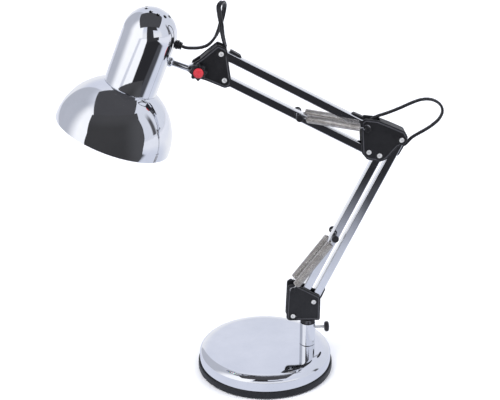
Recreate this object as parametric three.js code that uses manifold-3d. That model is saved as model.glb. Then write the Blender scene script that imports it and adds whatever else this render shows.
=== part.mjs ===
// Swing arm desk lamp: weighted round base, swivelling post bracket, two parallelogram
// arms of square chromed tube with balance springs, and a spun reflector head.
// Millimetres, +Z up. Origin: centre of the base on the surface it stands on.
// The arms move in the XZ plane; -Y is the side with the screw heads and the star knob.
import * as THREE from "three";
import { mergeVertices } from "three/addons/utils/BufferGeometryUtils.js";
import Module from "manifold-3d";

const wasm = await Module();
wasm.setup();

// ---------------------------------------------------------------- driving dimensions
const GAP = 0.3;                       // assembly gap between separate pieces

// base
const BASE_R = 80;                     // rubber rim, outside
const COVER_R = 78.3;                  // chromed cover, outside
const COVER_T = 0.9;
const COVER_TOP = 27.8;
const COVER_BOTTOM = 2.4;
const SHOULDER = 14.5;                 // rounded shoulder of the cover, across
const SHOULDER_H = 9;                  // and down
const PAD_R = 70, PAD_T = 1.4;
const PLATE_R = 75.6, PLATE_Z0 = 1.7, PLATE_Z1 = 2.9;
const WEIGHT_R = 68, WEIGHT_Z0 = 3.2, WEIGHT_Z1 = 19;

// post
const POST_X = 50.5, POST_R = 9.3, POST_RI = 8.2, POST_TOP = 56.6;
const SPIGOT_R = 7.9, COLLAR_R = 8.6;
const THUMB_Z = 49.3, THUMB_R = 1.7, THUMB_KNOB_X = 70.6, THUMB_KNOB_R = 6.1, THUMB_KNOB_T = 5.4;

// linkage pivots, [x, z]
const P1 = [32.2, 68.2], P2 = [56.5, 86.3];            // base bracket
const LOWER = [95.1, 201.5];                           // lower arm vector
const E1 = [P1[0] + LOWER[0], P1[1] + LOWER[1]];       // elbow, lower arm
const E2 = [P2[0] + LOWER[0], P2[1] + LOWER[1]];
const E3 = [115.0, 274.0], E4 = [111.8, 303.7];        // elbow, upper arm
const UPPER = [-161.6, 87.9];                          // upper arm vector
const H3 = [E3[0] + UPPER[0], E3[1] + UPPER[1]];       // head bracket
const H4 = [E4[0] + UPPER[0], E4[1] + UPPER[1]];
const KNOB = [-75.0, 374.0];                           // head clamp axis

// arm tube
const TUBE = 9.5, TUBE_WALL = 1.0, PIVOT_HOLE = 2.3;
// brackets
const CHEEK_IN = 5.15, CHEEK_OUT = 7.8;
const SCREW_R = 1.9, HEAD_R = 3.0, BORE_R = 3.45, BORE_DEPTH = 1.5;
// balance springs and their pins
const SPRING_Y = 9.9, SPRING_R = 4.7, SPRING_WIRE = 0.9;
const PIN_R = 2.0, PIN_CAP_R = 4.3, PIN_END = 15.3;
const ANCHOR = [30.9, 104.6];                          // lower springs, on the base bracket
const STUD_R = 2.9;
const K_AT = 0.493, K_OFF = 1.2, L_AT = 0.504, L_OFF = 1.2;
// head
const HEAD_TILT = 21.3 * Math.PI / 180;
const RIM = [-170.6, 299.6];                           // centre of the reflector mouth
const BOWL_R = 66, BOWL_T = 0.8;
const CAP_R = 29.8, CAP_T = 0.8, CAP_BOTTOM = 59.3, DOME_Z = 122.2;
const STEM_Z = 100.5, STEM_R = 3.4, GLAND_Z = 121.4;
const VENT_R = 2.0, VENT_RING = 13.4;
// flex
const CORD = 4.2;

// ---------------------------------------------------------------- materials
const MAT = {
  chrome: { color: 0xd8dce4, roughness: 0.07, metalness: 1 },
  nickel: { color: 0xb0a89c, roughness: 0.3, metalness: 1 },
  steel: { color: 0xc4c6ca, roughness: 0.32, metalness: 1 },
  iron: { color: 0x55565a, roughness: 0.7, metalness: 0.7 },
  black: { color: 0x232327, roughness: 0.55, metalness: 0 },
  gloss: { color: 0x141417, roughness: 0.3, metalness: 0 },
  rubber: { color: 0x1b1c1f, roughness: 0.6, metalness: 0 },
  foam: { color: 0x2c2c2e, roughness: 0.95, metalness: 0 },
  red: { color: 0xd6434d, roughness: 0.35, metalness: 0 },
  white: { color: 0xf1eee6, roughness: 0.5, metalness: 0 },
  glass: { color: 0xf6f4ee, roughness: 0.2, metalness: 0 },
  brass: { color: 0xc9a75a, roughness: 0.3, metalness: 1 },
};

// ---------------------------------------------------------------- helpers
function solid(geometry) {
  const g = geometry.clone();
  g.deleteAttribute("normal");
  g.deleteAttribute("uv");
  const m = mergeVertices(g, 1e-4);
  return new wasm.Manifold(new wasm.Mesh({
    numProp: 3,
    vertProperties: new Float32Array(m.attributes.position.array),
    triVerts: new Uint32Array(m.index.array),
  }));
}
function geometryOf(m) {
  const mesh = m.getMesh();
  const g = new THREE.BufferGeometry();
  g.setAttribute("position", new THREE.BufferAttribute(new Float32Array(mesh.vertProperties), 3));
  g.setIndex(new THREE.BufferAttribute(new Uint32Array(mesh.triVerts), 1));
  return g;
}
const join = (...s) => s.reduce((a, b) => a.add(b));
const cut = (a, ...s) => s.reduce((x, y) => x.subtract(y), a);
// outline in XZ, extruded from y0 to y1
function slab(points, y0, y1) {
  const shape = new THREE.Shape(points.map(([x, z]) => new THREE.Vector2(x, z)));
  const g = new THREE.ExtrudeGeometry(shape, { depth: y1 - y0, bevelEnabled: false, steps: 1, curveSegments: 1 });
  g.rotateX(Math.PI / 2);
  g.translate(0, y1, 0);
  return solid(g);
}
// outline in XY, extruded from z0 to z1
function plate(points, z0, z1) {
  const shape = new THREE.Shape(points.map(([x, y]) => new THREE.Vector2(x, y)));
  const g = new THREE.ExtrudeGeometry(shape, { depth: z1 - z0, bevelEnabled: false, steps: 1 });
  g.translate(0, 0, z0);
  return solid(g);
}
// round bar along Y
function rodY(x, z, r, y0, y1, n = 12) {
  const g = new THREE.CylinderGeometry(r, r, y1 - y0, n);
  g.translate(x, (y0 + y1) / 2, z);
  return solid(g);
}
// round bar along X
function rodX(y, z, r, x0, x1, n = 12) {
  const g = new THREE.CylinderGeometry(r, r, x1 - x0, n);
  g.rotateZ(Math.PI / 2);
  g.translate((x0 + x1) / 2, y, z);
  return solid(g);
}
// round bar along Z
function rodZ(x, y, r, z0, z1, n = 12) {
  const g = new THREE.CylinderGeometry(r, r, z1 - z0, n);
  g.rotateX(Math.PI / 2);
  g.translate(x, y, (z0 + z1) / 2);
  return solid(g);
}
function box(x0, x1, y0, y1, z0, z1) {
  const g = new THREE.BoxGeometry(x1 - x0, y1 - y0, z1 - z0);
  g.translate((x0 + x1) / 2, (y0 + y1) / 2, (z0 + z1) / 2);
  return solid(g);
}
// closed profile of [r, z], turned about Z
function turned(profile, n = 40) {
  const g = new THREE.LatheGeometry(profile.map(([r, z]) => new THREE.Vector2(r, z)), n);
  g.rotateX(Math.PI / 2);
  // LatheGeometry runs about Y; after the turn its axis is Z with z kept upright
  const m = solid(g);
  return m.volume() < 0 ? solid(flip(g)) : m;
}
function flip(g) {
  const out = g.clone(), a = Array.from(out.index.array);
  for (let i = 0; i < a.length; i += 3) { const t = a[i]; a[i] = a[i + 1]; a[i + 1] = t; }
  out.setIndex(a);
  return out;
}
// closed wire or tube along points, n-sided section
function sweep(points, r, n = 8, steps = 40, closed = false) {
  const curve = new THREE.CatmullRomCurve3(points.map((p) => new THREE.Vector3(...p)), closed, "centripetal");
  const s = [];
  for (let i = 0; i < n; i++) {
    const a = (i + 0.5) * 2 * Math.PI / n;
    s.push(new THREE.Vector2(r * Math.cos(a), r * Math.sin(a)));
  }
  return solid(new THREE.ExtrudeGeometry(new THREE.Shape(s), { steps, bevelEnabled: false, extrudePath: curve }));
}
// corners rounded with the given radii
function rounded(points, radii, seg = 3) {
  const out = [], n = points.length;
  for (let i = 0; i < n; i++) {
    const p = new THREE.Vector2(...points[i]);
    const a = new THREE.Vector2(...points[(i + n - 1) % n]).sub(p), b = new THREE.Vector2(...points[(i + 1) % n]).sub(p);
    const r = Array.isArray(radii) ? radii[i] : radii;
    if (!r) { out.push([p.x, p.y]); continue; }
    const la = a.length(), lb = b.length();
    a.normalize(); b.normalize();
    const half = Math.acos(Math.max(-1, Math.min(1, a.dot(b)))) / 2;
    const d = Math.min(r / Math.tan(half), la * 0.48, lb * 0.48);
    const rr = d * Math.tan(half);
    const mid = a.clone().add(b).normalize();
    const c = p.clone().add(mid.multiplyScalar(rr / Math.sin(half)));
    const s = p.clone().add(a.clone().multiplyScalar(d)), e = p.clone().add(b.clone().multiplyScalar(d));
    let a0 = Math.atan2(s.y - c.y, s.x - c.x), a1 = Math.atan2(e.y - c.y, e.x - c.x);
    let da = a1 - a0;
    while (da > Math.PI) da -= 2 * Math.PI;
    while (da < -Math.PI) da += 2 * Math.PI;
    for (let k = 0; k <= seg; k++) {
      const t = a0 + da * k / seg;
      out.push([c.x + rr * Math.cos(t), c.y + rr * Math.sin(t)]);
    }
  }
  return out;
}
const circle = (x, y, r, n = 16) => Array.from({ length: n }, (_, i) => [x + r * Math.cos(i * 2 * Math.PI / n), y + r * Math.sin(i * 2 * Math.PI / n)]);

const lamp = new THREE.Group();
lamp.name = "swing_arm_desk_lamp";
function add(name, m, kind, parent = lamp) {
  const mesh = new THREE.Mesh(geometryOf(m), new THREE.MeshStandardMaterial(MAT[kind]));
  mesh.name = name;
  parent.add(mesh);
  return mesh;
}

// ---------------------------------------------------------------- base
{
  const arc = [];
  for (let i = 0; i <= 4; i++) {
    const t = i / 4 * Math.PI / 2;
    arc.push([COVER_R - SHOULDER + SHOULDER * Math.cos(t), COVER_TOP - SHOULDER_H + SHOULDER_H * Math.sin(t)]);
  }
  const inner = [];
  for (let i = 0; i <= 4; i++) {
    const t = i / 4 * Math.PI / 2;
    inner.push([COVER_R - SHOULDER + (SHOULDER - COVER_T) * Math.cos(t), COVER_TOP - SHOULDER_H + (SHOULDER_H - COVER_T) * Math.sin(t)]);
  }
  let cover = turned([[0, COVER_TOP], ...arc.slice().reverse(), [COVER_R, COVER_BOTTOM], [COVER_R - COVER_T, COVER_BOTTOM], ...inner, [0, COVER_TOP - COVER_T]], 32);
  cover = cut(cover, rodZ(POST_X, 0, 6.7, COVER_TOP - 4, COVER_TOP + 4, 20));
  // cable outlet in the back wall
  cover = cut(cover, rodOut(8.6, 4.2));
  add("base_cover", cover, "chrome");

  const ring = turned([[74.2, 0.7], [79.2, 0.7], [BASE_R, 1.6], [BASE_R, 8.2], [79.2, 9.0], [78.6, 9.0], [78.6, 2.1], [77.2, 2.1], [76.0, 1.4], [74.2, 1.4], [74.2, 0.7]], 32);
  add("base_rim_ring", cut(ring, rodOut(8.6, 4.2)), "rubber");
  add("base_foot_pad", cut(plate(circle(0, 0, PAD_R, 32), 0, PAD_T), rodZ(30, 0, 6.2, -1, 3, 18)), "foam");
  add("base_plate", cut(plate(circle(0, 0, 74.0, 32), PLATE_Z0, PLATE_Z1), rodZ(30, 0, 3.2, 0, 5, 16)), "steel");
  let weight = plate(circle(0, 0, WEIGHT_R, 32), WEIGHT_Z0, WEIGHT_Z1);
  weight = cut(weight, rodZ(POST_X, 0, 21, 0, 30, 24), box(-6, 6, 10, 80, WEIGHT_Z0 + 2, 30), box(-6, 44, 10, 27, WEIGHT_Z0 + 2, 30), rodZ(30, 0, 3.2, 0, 14, 16));
  add("base_weight", weight, "iron");
  add("base_bolt", join(rodZ(30, 0, 5.5, 0.35, 1.45, 16), rodZ(30, 0, 2.8, 1.2, 13, 12)), "steel");
}
// radial hole through the back wall of the base, height z
function rodOut(z, r) {
  const g = new THREE.CylinderGeometry(r, r, 14, 14);
  g.translate(0, 79, z);
  return solid(g);
}
{
  // cable grommet in the back wall: flange inside, neck through, flange outside; bored for the lead
  const y = (a, b, r) => rodY(0, 8.6, r, a, b, 14);
  add("base_cable_grommet", cut(join(y(73.4, 76.6, 5.4), y(76.2, 80.4, 3.9), y(80.35, 82.0, 4.8)), y(72, 84, 2.4)), "rubber");
}

// ---------------------------------------------------------------- post
{
  let post = join(rodZ(POST_X, 0, POST_R, COVER_TOP + GAP, POST_TOP, 28), rodZ(POST_X, 0, 6.3, 12.6, COVER_TOP + 2, 18));
  post = cut(post, rodZ(POST_X, 0, POST_RI, 32, POST_TOP + 2, 28), rodZ(POST_X, 0, 4.6, 5, 34, 16), rodX(0, THUMB_Z, THUMB_R + GAP, POST_X, POST_X + 14, 12));
  add("post_tube", post, "chrome");
  const hex = Array.from({ length: 6 }, (_, i) => [POST_X + 12 * Math.cos(i * Math.PI / 3), 12 * Math.sin(i * Math.PI / 3)]);
  add("post_flange_nut", cut(join(plate(hex, 16.3, 23.9), rodZ(POST_X, 0, 14, 23.7, 26.5, 24)), rodZ(POST_X, 0, 6.7, 10, 30, 20)), "steel");
  add("thumb_screw", rodX(0, THUMB_Z, THUMB_R, POST_X + SPIGOT_R + GAP + 0.1, THUMB_KNOB_X + 3.0, 12), "steel");
  const k = turned([[0, 0], [4.4, 0], [THUMB_KNOB_R - 0.4, 0.9], [THUMB_KNOB_R, 2.2], [THUMB_KNOB_R, 3.6], [THUMB_KNOB_R - 0.7, 4.8], [4.2, THUMB_KNOB_T], [0, THUMB_KNOB_T]], 20);
  const kg = geometryOf(cut(k, rodZ(0, 0, THUMB_R + GAP, -1, 3.3, 12)));
  kg.rotateY(Math.PI / 2);
  kg.translate(THUMB_KNOB_X, 0, THUMB_Z);
  add("thumb_screw_knob", solid(kg), "black");
}

// ---------------------------------------------------------------- brackets
const BASE_BRACKET = rounded([[24.2, 62.8], [64.2, 62.2], [64.4, 93.2], [50.6, 101.2], [36.4, 109.2], [25.8, 109.4]], [5, 2.5, 4, 7, 4, 3], 2);
const ELBOW = rounded([[105.4, 296.4], [104.9, 309.6], [109.6, 313.9], [123.8, 311.9], [139.3, 305.2], [154.8, 297.9], [158.6, 291.0], [155.8, 283.2], [147.4, 279.6], [135.6, 265.4], [128.4, 262.2], [113.4, 265.4], [107.2, 273.0]],
  [0, 2, 3, 6, 8, 5, 4, 4, 5, 4, 5, 5, 4], 2);
const HEAD_BRACKET = rounded([[-53.2, 402.4], [-43.6, 397.4], [-39.4, 363.0], [-39.6, 355.2], [-46.2, 353.2], [-67.0, 362.4], [-77.5, 365.6], [-83.6, 373.0], [-80.6, 381.6], [-72.9, 386.4]],
  [4, 4, 3, 3, 4, 3, 4, 4, 4, 2], 2);

// front half: the screw heads are let into it. rear half: blind bosses take the threads
function frontCheek(outline, screws, extra = []) {
  let m = join(slab(outline, -CHEEK_OUT, -CHEEK_IN), ...extra);
  for (const [x, z] of screws) m = cut(m, rodY(x, z, SCREW_R + GAP, -12, -2, 8), rodY(x, z, BORE_R, -12, -CHEEK_OUT + BORE_DEPTH, 12));
  return m;
}
function rearCheek(outline, screws, extra = []) {
  let m = slab(outline, CHEEK_IN, CHEEK_OUT);
  for (const [x, z] of screws) m = m.add(rodY(x, z, 3.6, CHEEK_OUT - 0.5, CHEEK_OUT + 1.6, 10));
  for (const e of extra) m = m.add(e);
  for (const [x, z] of screws) m = cut(m, rodY(x, z, SCREW_R + GAP, 2, CHEEK_OUT + 0.6, 8));
  return m;
}
function screw(name, [x, z]) {
  const y0 = -CHEEK_OUT - 0.3;
  const m = join(rodY(x, z, HEAD_R, y0, -CHEEK_OUT + BORE_DEPTH - GAP, 12), rodY(x, z, SCREW_R, y0 + 1, CHEEK_OUT + 0.3, 8));
  add(name, m, "steel");
}
// stud for a spring hook, moulded on the outside of a cheek
const stud = ([x, z], side, r) => side < 0
  ? join(rodY(x, z, r - 0.7, -12.2, -CHEEK_OUT + 0.5, 12), rodY(x, z, r, -14.2, -12.0, 14))
  : join(rodY(x, z, r - 0.7, CHEEK_OUT - 0.5, 12.2, 12), rodY(x, z, r, 12.0, 14.2, 14));

// wall strip between the cheeks, moulded on the rear half
const strip = (points) => slab(points, -CHEEK_IN + GAP, CHEEK_IN + 0.5);

{
  const block = slab([[44.6, 62.6], [64.1, 62.3], [64.2, 76.0], [62.3, 76.0], [61.0, 73.4], [44.6, 73.4]], -CHEEK_IN + GAP, CHEEK_IN + 0.5);
  const spigot = join(rodZ(POST_X, 0, COLLAR_R, POST_TOP + GAP, 61.8, 24), rodZ(POST_X, 0, 4.8, 61.0, 66, 16), rodZ(POST_X, 0, SPIGOT_R, 33, POST_TOP + 2, 24));
  let rear = rearCheek(BASE_BRACKET, [P1, P2], [block, spigot, stud(ANCHOR, 1, STUD_R)]);
  rear = cut(rear, rodZ(POST_X, 0, 3.0, 20, 90, 14));
  add("base_bracket_rear", rear, "black");
  add("base_bracket_front", frontCheek(BASE_BRACKET, [P1, P2], [stud(ANCHOR, -1, STUD_R)]), "black");
  screw("screw_base_left", P1);
  screw("screw_base_right", P2);
}
{
  const top = strip([[127.0, 310.6], [139.3, 305.0], [154.0, 298.0], [157.0, 293.6], [155.2, 292.8], [152.8, 296.2], [138.5, 303.0], [126.4, 308.6]]);
  add("elbow_bracket_rear", rearCheek(ELBOW, [E1, E2, E3], [top, stud(E4, 1, 3.5)]).subtract(rodY(E4[0], E4[1], SCREW_R + GAP, 2, CHEEK_OUT + 1.5, 12)), "black");
  add("elbow_bracket_front", frontCheek(ELBOW, [E1, E2, E3], [stud(E4, -1, 3.5)]).subtract(rodY(E4[0], E4[1], SCREW_R + GAP, -CHEEK_OUT - 1.5, -2, 12)), "black");
  screw("screw_elbow_lower_left", E1);
  screw("screw_elbow_lower_right", E2);
  screw("screw_elbow_upper_left", E3);
  add("elbow_hinge_pin", rodY(E4[0], E4[1], SCREW_R, -CHEEK_OUT - 1.2, CHEEK_OUT + 1.2, 12), "steel");
}
{
  const top = strip([[-54.4, 401.0], [-72.4, 386.0], [-71.2, 384.4], [-53.6, 399.2]]);
  const hole = (a, b) => rodY(KNOB[0], KNOB[1], 2.7, a, b, 14);
  add("head_bracket_rear", cut(rearCheek(HEAD_BRACKET, [H3, H4], [top]), hole(2, 12)), "black");
  add("head_bracket_front", cut(frontCheek(HEAD_BRACKET, [H3, H4]), hole(-12, -2)), "black");
  screw("screw_head_lower", H3);
  screw("screw_head_upper", H4);
  const hex = Array.from({ length: 6 }, (_, i) => [KNOB[0] + 4.6 * Math.cos(i * Math.PI / 3), KNOB[1] + 4.6 * Math.sin(i * Math.PI / 3)]);
  add("head_clamp_bolt", join(slab(hex, CHEEK_OUT + GAP, CHEEK_OUT + 3.4), rodY(KNOB[0], KNOB[1], 2.4, -14.6, CHEEK_OUT + 1, 14)), "steel");
}
{
  // star knob with a pressed-in cap
  const star = [];
  for (let i = 0; i < 32; i++) {
    const a = i / 32 * 2 * Math.PI, r = 8.9 + 0.95 * Math.cos(8 * a);
    star.push([KNOB[0] + r * Math.cos(a), KNOB[1] + r * Math.sin(a)]);
  }
  const y0 = -17.4;
  let k = join(slab(star, -15.6, -9.4), rodY(KNOB[0], KNOB[1], 6.9, y0, -15.0, 20), rodY(KNOB[0], KNOB[1], 5.2, -9.8, -CHEEK_OUT - GAP, 18));
  k = cut(k, rodY(KNOB[0], KNOB[1], 2.4 + GAP, -15.2, -2, 14), rodY(KNOB[0], KNOB[1], 5.9, y0 - 1, -16.2, 20));
  add("star_knob", k, "black");
  const c = geometryOf(turned([[0, 0], [5.5, 0], [5.5, 1.6], [5.1, 2.5], [3.6, 3.2], [0, 3.5]], 20));
  c.rotateX(Math.PI / 2);
  c.translate(KNOB[0], -16.5, KNOB[1]);
  add("star_knob_cap", solid(c), "red");
}

// ---------------------------------------------------------------- arm tubes
// square tube from one pivot to the other with rounded ends; local X runs along the tube
function tubeGroup(from, vec) {
  const g = new THREE.Group();
  g.position.set(from[0], 0, from[1]);
  g.rotation.y = -Math.atan2(vec[1], vec[0]);
  lamp.add(g);
  return g;
}
const lengthOf = (v) => Math.hypot(v[0], v[1]);
function armTube(len, holes = [], slots = []) {
  const h = TUBE / 2, i = h - TUBE_WALL;
  const end = (cx, a0) => Array.from({ length: 6 }, (_, k) => [cx + h * Math.cos(a0 + k * Math.PI / 5), h * Math.sin(a0 + k * Math.PI / 5)]);
  let m = slab([...end(len, -Math.PI / 2), ...end(0, Math.PI / 2)], -h, h);
  m = m.subtract(box(-20, len + 20, -i, i, -i, i));
  for (const x of [0, len]) m = m.subtract(rodY(x, 0, PIVOT_HOLE, -20, 20, 10));
  for (const [x, z] of holes) m = m.subtract(rodY(x, z, PIN_R + GAP, -20, 20, 10));
  for (const [a, b, side] of slots) m = m.subtract(box(a, b, -2.6, 2.6, side > 0 ? 2 : -8, side > 0 ? 8 : -2));
  return m;
}
// steel spring pin with a moulded head at the back and a cap at the front
function springPin(name, x, z, group) {
  add(name, join(rodY(x, z, PIN_R, -PIN_END + 1.4, PIN_END - 1, 12), rodY(x, z, PIN_CAP_R, 12.2, PIN_END, 16)), "black", group);
  add(name + "_cap", cut(rodY(x, z, PIN_CAP_R, -PIN_END, -12.2, 16), rodY(x, z, PIN_R + GAP, -PIN_END + 1.1, -10, 12)), "black", group);
}
// moulded cord guide: a plug let into the tube and a tongue lying along its outer face.
// side +1: on the +Z face of the tube, -1: on the -Z face
function cordGuide(name, x0, x1, side, group) {
  const h = TUBE / 2;
  const z = (v) => side * v;
  const tongue = slab([[x0, z(h + GAP)], [x1, z(h + GAP)], [x1, z(h + 1.2)], [x1 - 3, z(h + 2.6)], [x0 + 2, z(h + 2.9)], [x0, z(h + 2.4)]].slice().reverse(), -3.6, 3.6);
  const neck = box(x0 + 4, x0 + 9, -2.2, 2.2, Math.min(z(h - 3.0), z(h + 1)), Math.max(z(h - 3.0), z(h + 1)));
  let m = tongue.volume() < 0 ? slab([[x0, z(h + GAP)], [x1, z(h + GAP)], [x1, z(h + 1.2)], [x1 - 3, z(h + 2.6)], [x0 + 2, z(h + 2.9)], [x0, z(h + 2.4)]], -3.6, 3.6) : tongue;
  add(name, m.add(neck), "black", group);
}
const LL = lengthOf(LOWER), UL = lengthOf(UPPER);
const inner = CORD / 2;
{
  const left = tubeGroup(P1, LOWER);
  add("lower_bar_left", armTube(LL, [[LL * L_AT, L_OFF]]), "chrome", left);
  springPin("lower_spring_pin", LL * L_AT, L_OFF, left);
  const right = tubeGroup(P2, LOWER);
  add("lower_bar_right", armTube(LL, [], [[9.5, 16.1, -1], [LL - 16.1, LL - 9.5, -1]]), "chrome", right);
  cordGuide("cord_guide_base", 6.2, 20.5, -1, right);
  const g = new THREE.Group();
  g.position.x = LL; g.rotation.z = Math.PI; right.add(g);
  cordGuide("cord_guide_elbow_lower", 6.2, 20.5, -1, g);
  add("cord_run_lower_arm", sweep([[18.5, 0, 0], [LL / 2, 0, 0.4], [LL - 18.5, 0, 0]], inner - 0.1, 6, 4), "gloss", right);
}
{
  const lower = tubeGroup(E3, UPPER);
  add("upper_bar_bottom", armTube(UL, [[UL * K_AT, -K_OFF]]), "chrome", lower);
  springPin("upper_spring_pin", UL * K_AT, -K_OFF, lower);
  const top = tubeGroup(E4, UPPER);
  add("upper_bar_top", armTube(UL, [], [[11.5, 18.1, -1], [UL - 18.1, UL - 11.5, -1]]), "chrome", top);
  cordGuide("cord_guide_elbow_upper", 8.2, 22.0, -1, top);
  const g = new THREE.Group();
  g.position.x = UL; g.rotation.z = Math.PI; top.add(g);
  cordGuide("cord_guide_head", 8.2, 22.5, -1, g);
  add("cord_run_upper_arm", sweep([[20.5, 0, 0], [UL / 2, 0, -0.3], [UL - 20.5, 0, 0]], inner - 0.1, 6, 4), "gloss", top);
}

// ---------------------------------------------------------------- balance springs
const along = (from, vec, t, off) => {
  const l = lengthOf(vec), u = [vec[0] / l, vec[1] / l];
  return [from[0] + vec[0] * t - u[1] * off, from[1] + vec[1] * t + u[0] * off];
};
const L_PIN = along(P1, LOWER, L_AT, L_OFF), K_PIN = along(E3, UPPER, K_AT, -K_OFF);
function spring(name, a, b, y, ra, rb, ga, gb) {
  // closed envelope of the coil, with a straight hook wire reaching each pin
  const d = [b[0] - a[0], b[1] - a[1]], l = lengthOf(d);
  const g = new THREE.Group();
  g.position.set(a[0], y, a[1]);
  g.rotation.y = -Math.atan2(d[1], d[0]);
  lamp.add(g);
  const body = rodX(0, 0, SPRING_R, ga, l - gb, 12);
  add(name, join(body, rodX(0, 0, SPRING_WIRE, ra, l - rb, 8)), "nickel", g);
}
spring("lower_spring_front", ANCHOR, L_PIN, -SPRING_Y, STUD_R - 0.7 + GAP + 0.1, PIN_R + GAP + 0.1, 7.6, 9.0);
spring("lower_spring_rear", ANCHOR, L_PIN, SPRING_Y, STUD_R - 0.7 + GAP + 0.1, PIN_R + GAP + 0.1, 7.6, 9.0);
spring("upper_spring_front", E4, K_PIN, -SPRING_Y, 2.8 + GAP + 0.1, PIN_R + GAP + 0.1, 8.6, 8.0);
spring("upper_spring_rear", E4, K_PIN, SPRING_Y, 2.8 + GAP + 0.1, PIN_R + GAP + 0.1, 8.6, 8.0);

// ---------------------------------------------------------------- head (local Z up the head axis, X towards the stem)
const head = new THREE.Group();
head.position.set(RIM[0], 0, RIM[1]);
head.rotation.y = HEAD_TILT;
lamp.add(head);
{
  const k = [KNOB[0] - RIM[0], KNOB[1] - RIM[1]];
  const s = Math.sin(HEAD_TILT), c = Math.cos(HEAD_TILT);
  const kx = k[0] * c - k[1] * s, kz = k[0] * s + k[1] * c;      // clamp axis in head coordinates

  // reflector: spun hemisphere with a turned-in neck
  const out = [], inn = [];
  const a0 = Math.asin(0 / BOWL_R), aN = Math.acos(28.3 / BOWL_R);
  for (let i = 0; i <= 6; i++) { const a = a0 + (aN - a0) * i / 6; out.push([BOWL_R * Math.cos(a), BOWL_R * Math.sin(a)]); }
  const ri = BOWL_R - BOWL_T, aI = Math.acos(27.6 / ri);
  for (let i = 0; i <= 6; i++) { const a = a0 + (aI - a0) * i / 6; inn.push([ri * Math.cos(a), ri * Math.sin(a)]); }
  const top = out[out.length - 1][1];
  add("reflector", turned([...out, [20.6, top], [20.6, top - BOWL_T], ...inn.slice().reverse(), out[0]], 32), "chrome", head);

  // socket cover: tube with a domed, vented top
  const co = [[CAP_R, CAP_BOTTOM], [CAP_R, DOME_Z]], ci = [[CAP_R - CAP_T, CAP_BOTTOM], [CAP_R - CAP_T, DOME_Z]];
  for (let i = 1; i <= 5; i++) {
    const a = i / 5 * Math.PI / 2;
    co.push([i === 5 ? 0 : CAP_R * Math.cos(a), DOME_Z + CAP_R * Math.sin(a)]);
    ci.push([i === 5 ? 0 : (CAP_R - CAP_T) * Math.cos(a), DOME_Z + (CAP_R - CAP_T) * Math.sin(a)]);
  }
  let cover = turned([...ci.slice().reverse(), ...co], 28);
  for (let i = 0; i < 10; i++) {
    const a = (i + 0.5) / 10 * 2 * Math.PI;
    cover = cover.subtract(rodZ(VENT_RING * Math.cos(a), VENT_RING * Math.sin(a), VENT_R, 140, 160, 8));
  }
  cover = cover.subtract(rodX(0, STEM_Z, STEM_R + GAP, 20, 40, 14)).subtract(rodX(0, GLAND_Z, 3.9, 20, 40, 14));
  add("socket_cover", cover, "chrome", head);

  // lampholder, its shade ring and the lamp
  let holder = turned([[0, 108], [9, 108], [15, 103], [19.6, 97], [19.6, 60.2], [20.1, 60.2], [20.1, 46], [0, 46]], 24);
  holder = cut(holder, rodZ(0, 0, 14.2, 40, 92, 24), rodZ(0, 0, 4, 90, 120, 14));
  holder = cut(holder, cut(rodZ(0, 0, 26, 58.7, 60.1, 24), rodZ(0, 0, 19.2, 58, 61, 24)));
  add("lampholder", holder, "white", head);
  add("shade_ring", cut(rodZ(0, 0, 25.4, 51.4, top - BOWL_T - GAP, 24), rodZ(0, 0, 20.4, 50, 62, 24)), "white", head);
  const bo = [[0, -4.6]], bi = [[0, -3.4]];
  for (let i = 1; i <= 6; i++) {
    const a = -Math.PI / 2 + i / 6 * 2.42;
    bo.push([22.6 * Math.cos(a), 18 + 22.6 * Math.sin(a)]);
    bi.push([21.4 * Math.cos(a), 18 + 21.4 * Math.sin(a)]);
  }
  bo.push([13.4, 41.5], [13.4, 44.5]);
  bi.push([12.2, 41.2], [12.2, 44.5]);
  add("bulb_glass", turned([...bo, ...bi.slice().reverse()], 20), "glass", head);
  add("bulb_cap", turned([[12.4, 44.9], [13.2, 44.9], [13.2, 66], [9, 71], [4, 72.6], [0, 72.6], [0, 71.8], [3.8, 71.8], [8.6, 70.3], [12.4, 65.6], [12.4, 44.9]], 20), "brass", head);

  // stem: threaded tube with a flattened eye for the clamp bolt, fixed by two nuts
  const eye = slab(rounded([[kx - 11.0, kz - 6.6], [kx + 3.0, kz - 7.0], [kx + 7.4, kz - 2.4], [kx + 7.4, kz + 3.4], [kx + 2.6, kz + 7.4], [kx - 4.0, kz + 6.8], [kx - 11.0, STEM_Z + STEM_R - 0.1]], [2, 4, 3.5, 3.5, 4, 4, 1], 2), -3.0, 3.0);
  let stem = join(rodX(0, STEM_Z, STEM_R, 22.4, kx - 8.5, 16), eye);
  stem = cut(stem, rodY(kx, kz, 2.7, -9, 9, 14), rodX(0, STEM_Z, 1.5, 20, 44, 10));
  add("head_stem", stem, "chrome", head);
  const nut = (x0, x1, r, n) => cut(rodX(0, STEM_Z, r, x0, x1, n), rodX(0, STEM_Z, STEM_R + GAP, x0 - 1, x1 + 1, 14));
  add("stem_boss_nut", nut(CAP_R + GAP + 0.1, CAP_R + 4.0, 5.6, 16), "chrome", head);
  add("stem_lock_nut", nut(24.4, 27.6, 5.4, 6), "steel", head);

  // cord gland in the side of the cover
  let gland = join(rodX(0, GLAND_Z, 5.3, CAP_R + GAP + 0.2, CAP_R + 3.4, 14), rodX(0, GLAND_Z, 3.5, CAP_R - 3.0, CAP_R + 1.0, 12), rodX(0, GLAND_Z, 4.4, CAP_R + 3.0, CAP_R + 7.2, 12));
  add("cord_gland", cut(gland, rodX(0, GLAND_Z, 2.5, CAP_R - 6, CAP_R + 1.5, 10)), "black", head);
  add("cord_run_head", sweep([[CAP_R - 3.4, 0, GLAND_Z], [20, 0, GLAND_Z], [8, 0, 117], [0, 0, 112], [0, 0, 108.4]].map((p) => p), 2.0, 6, 8), "gloss", head);
}

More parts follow.
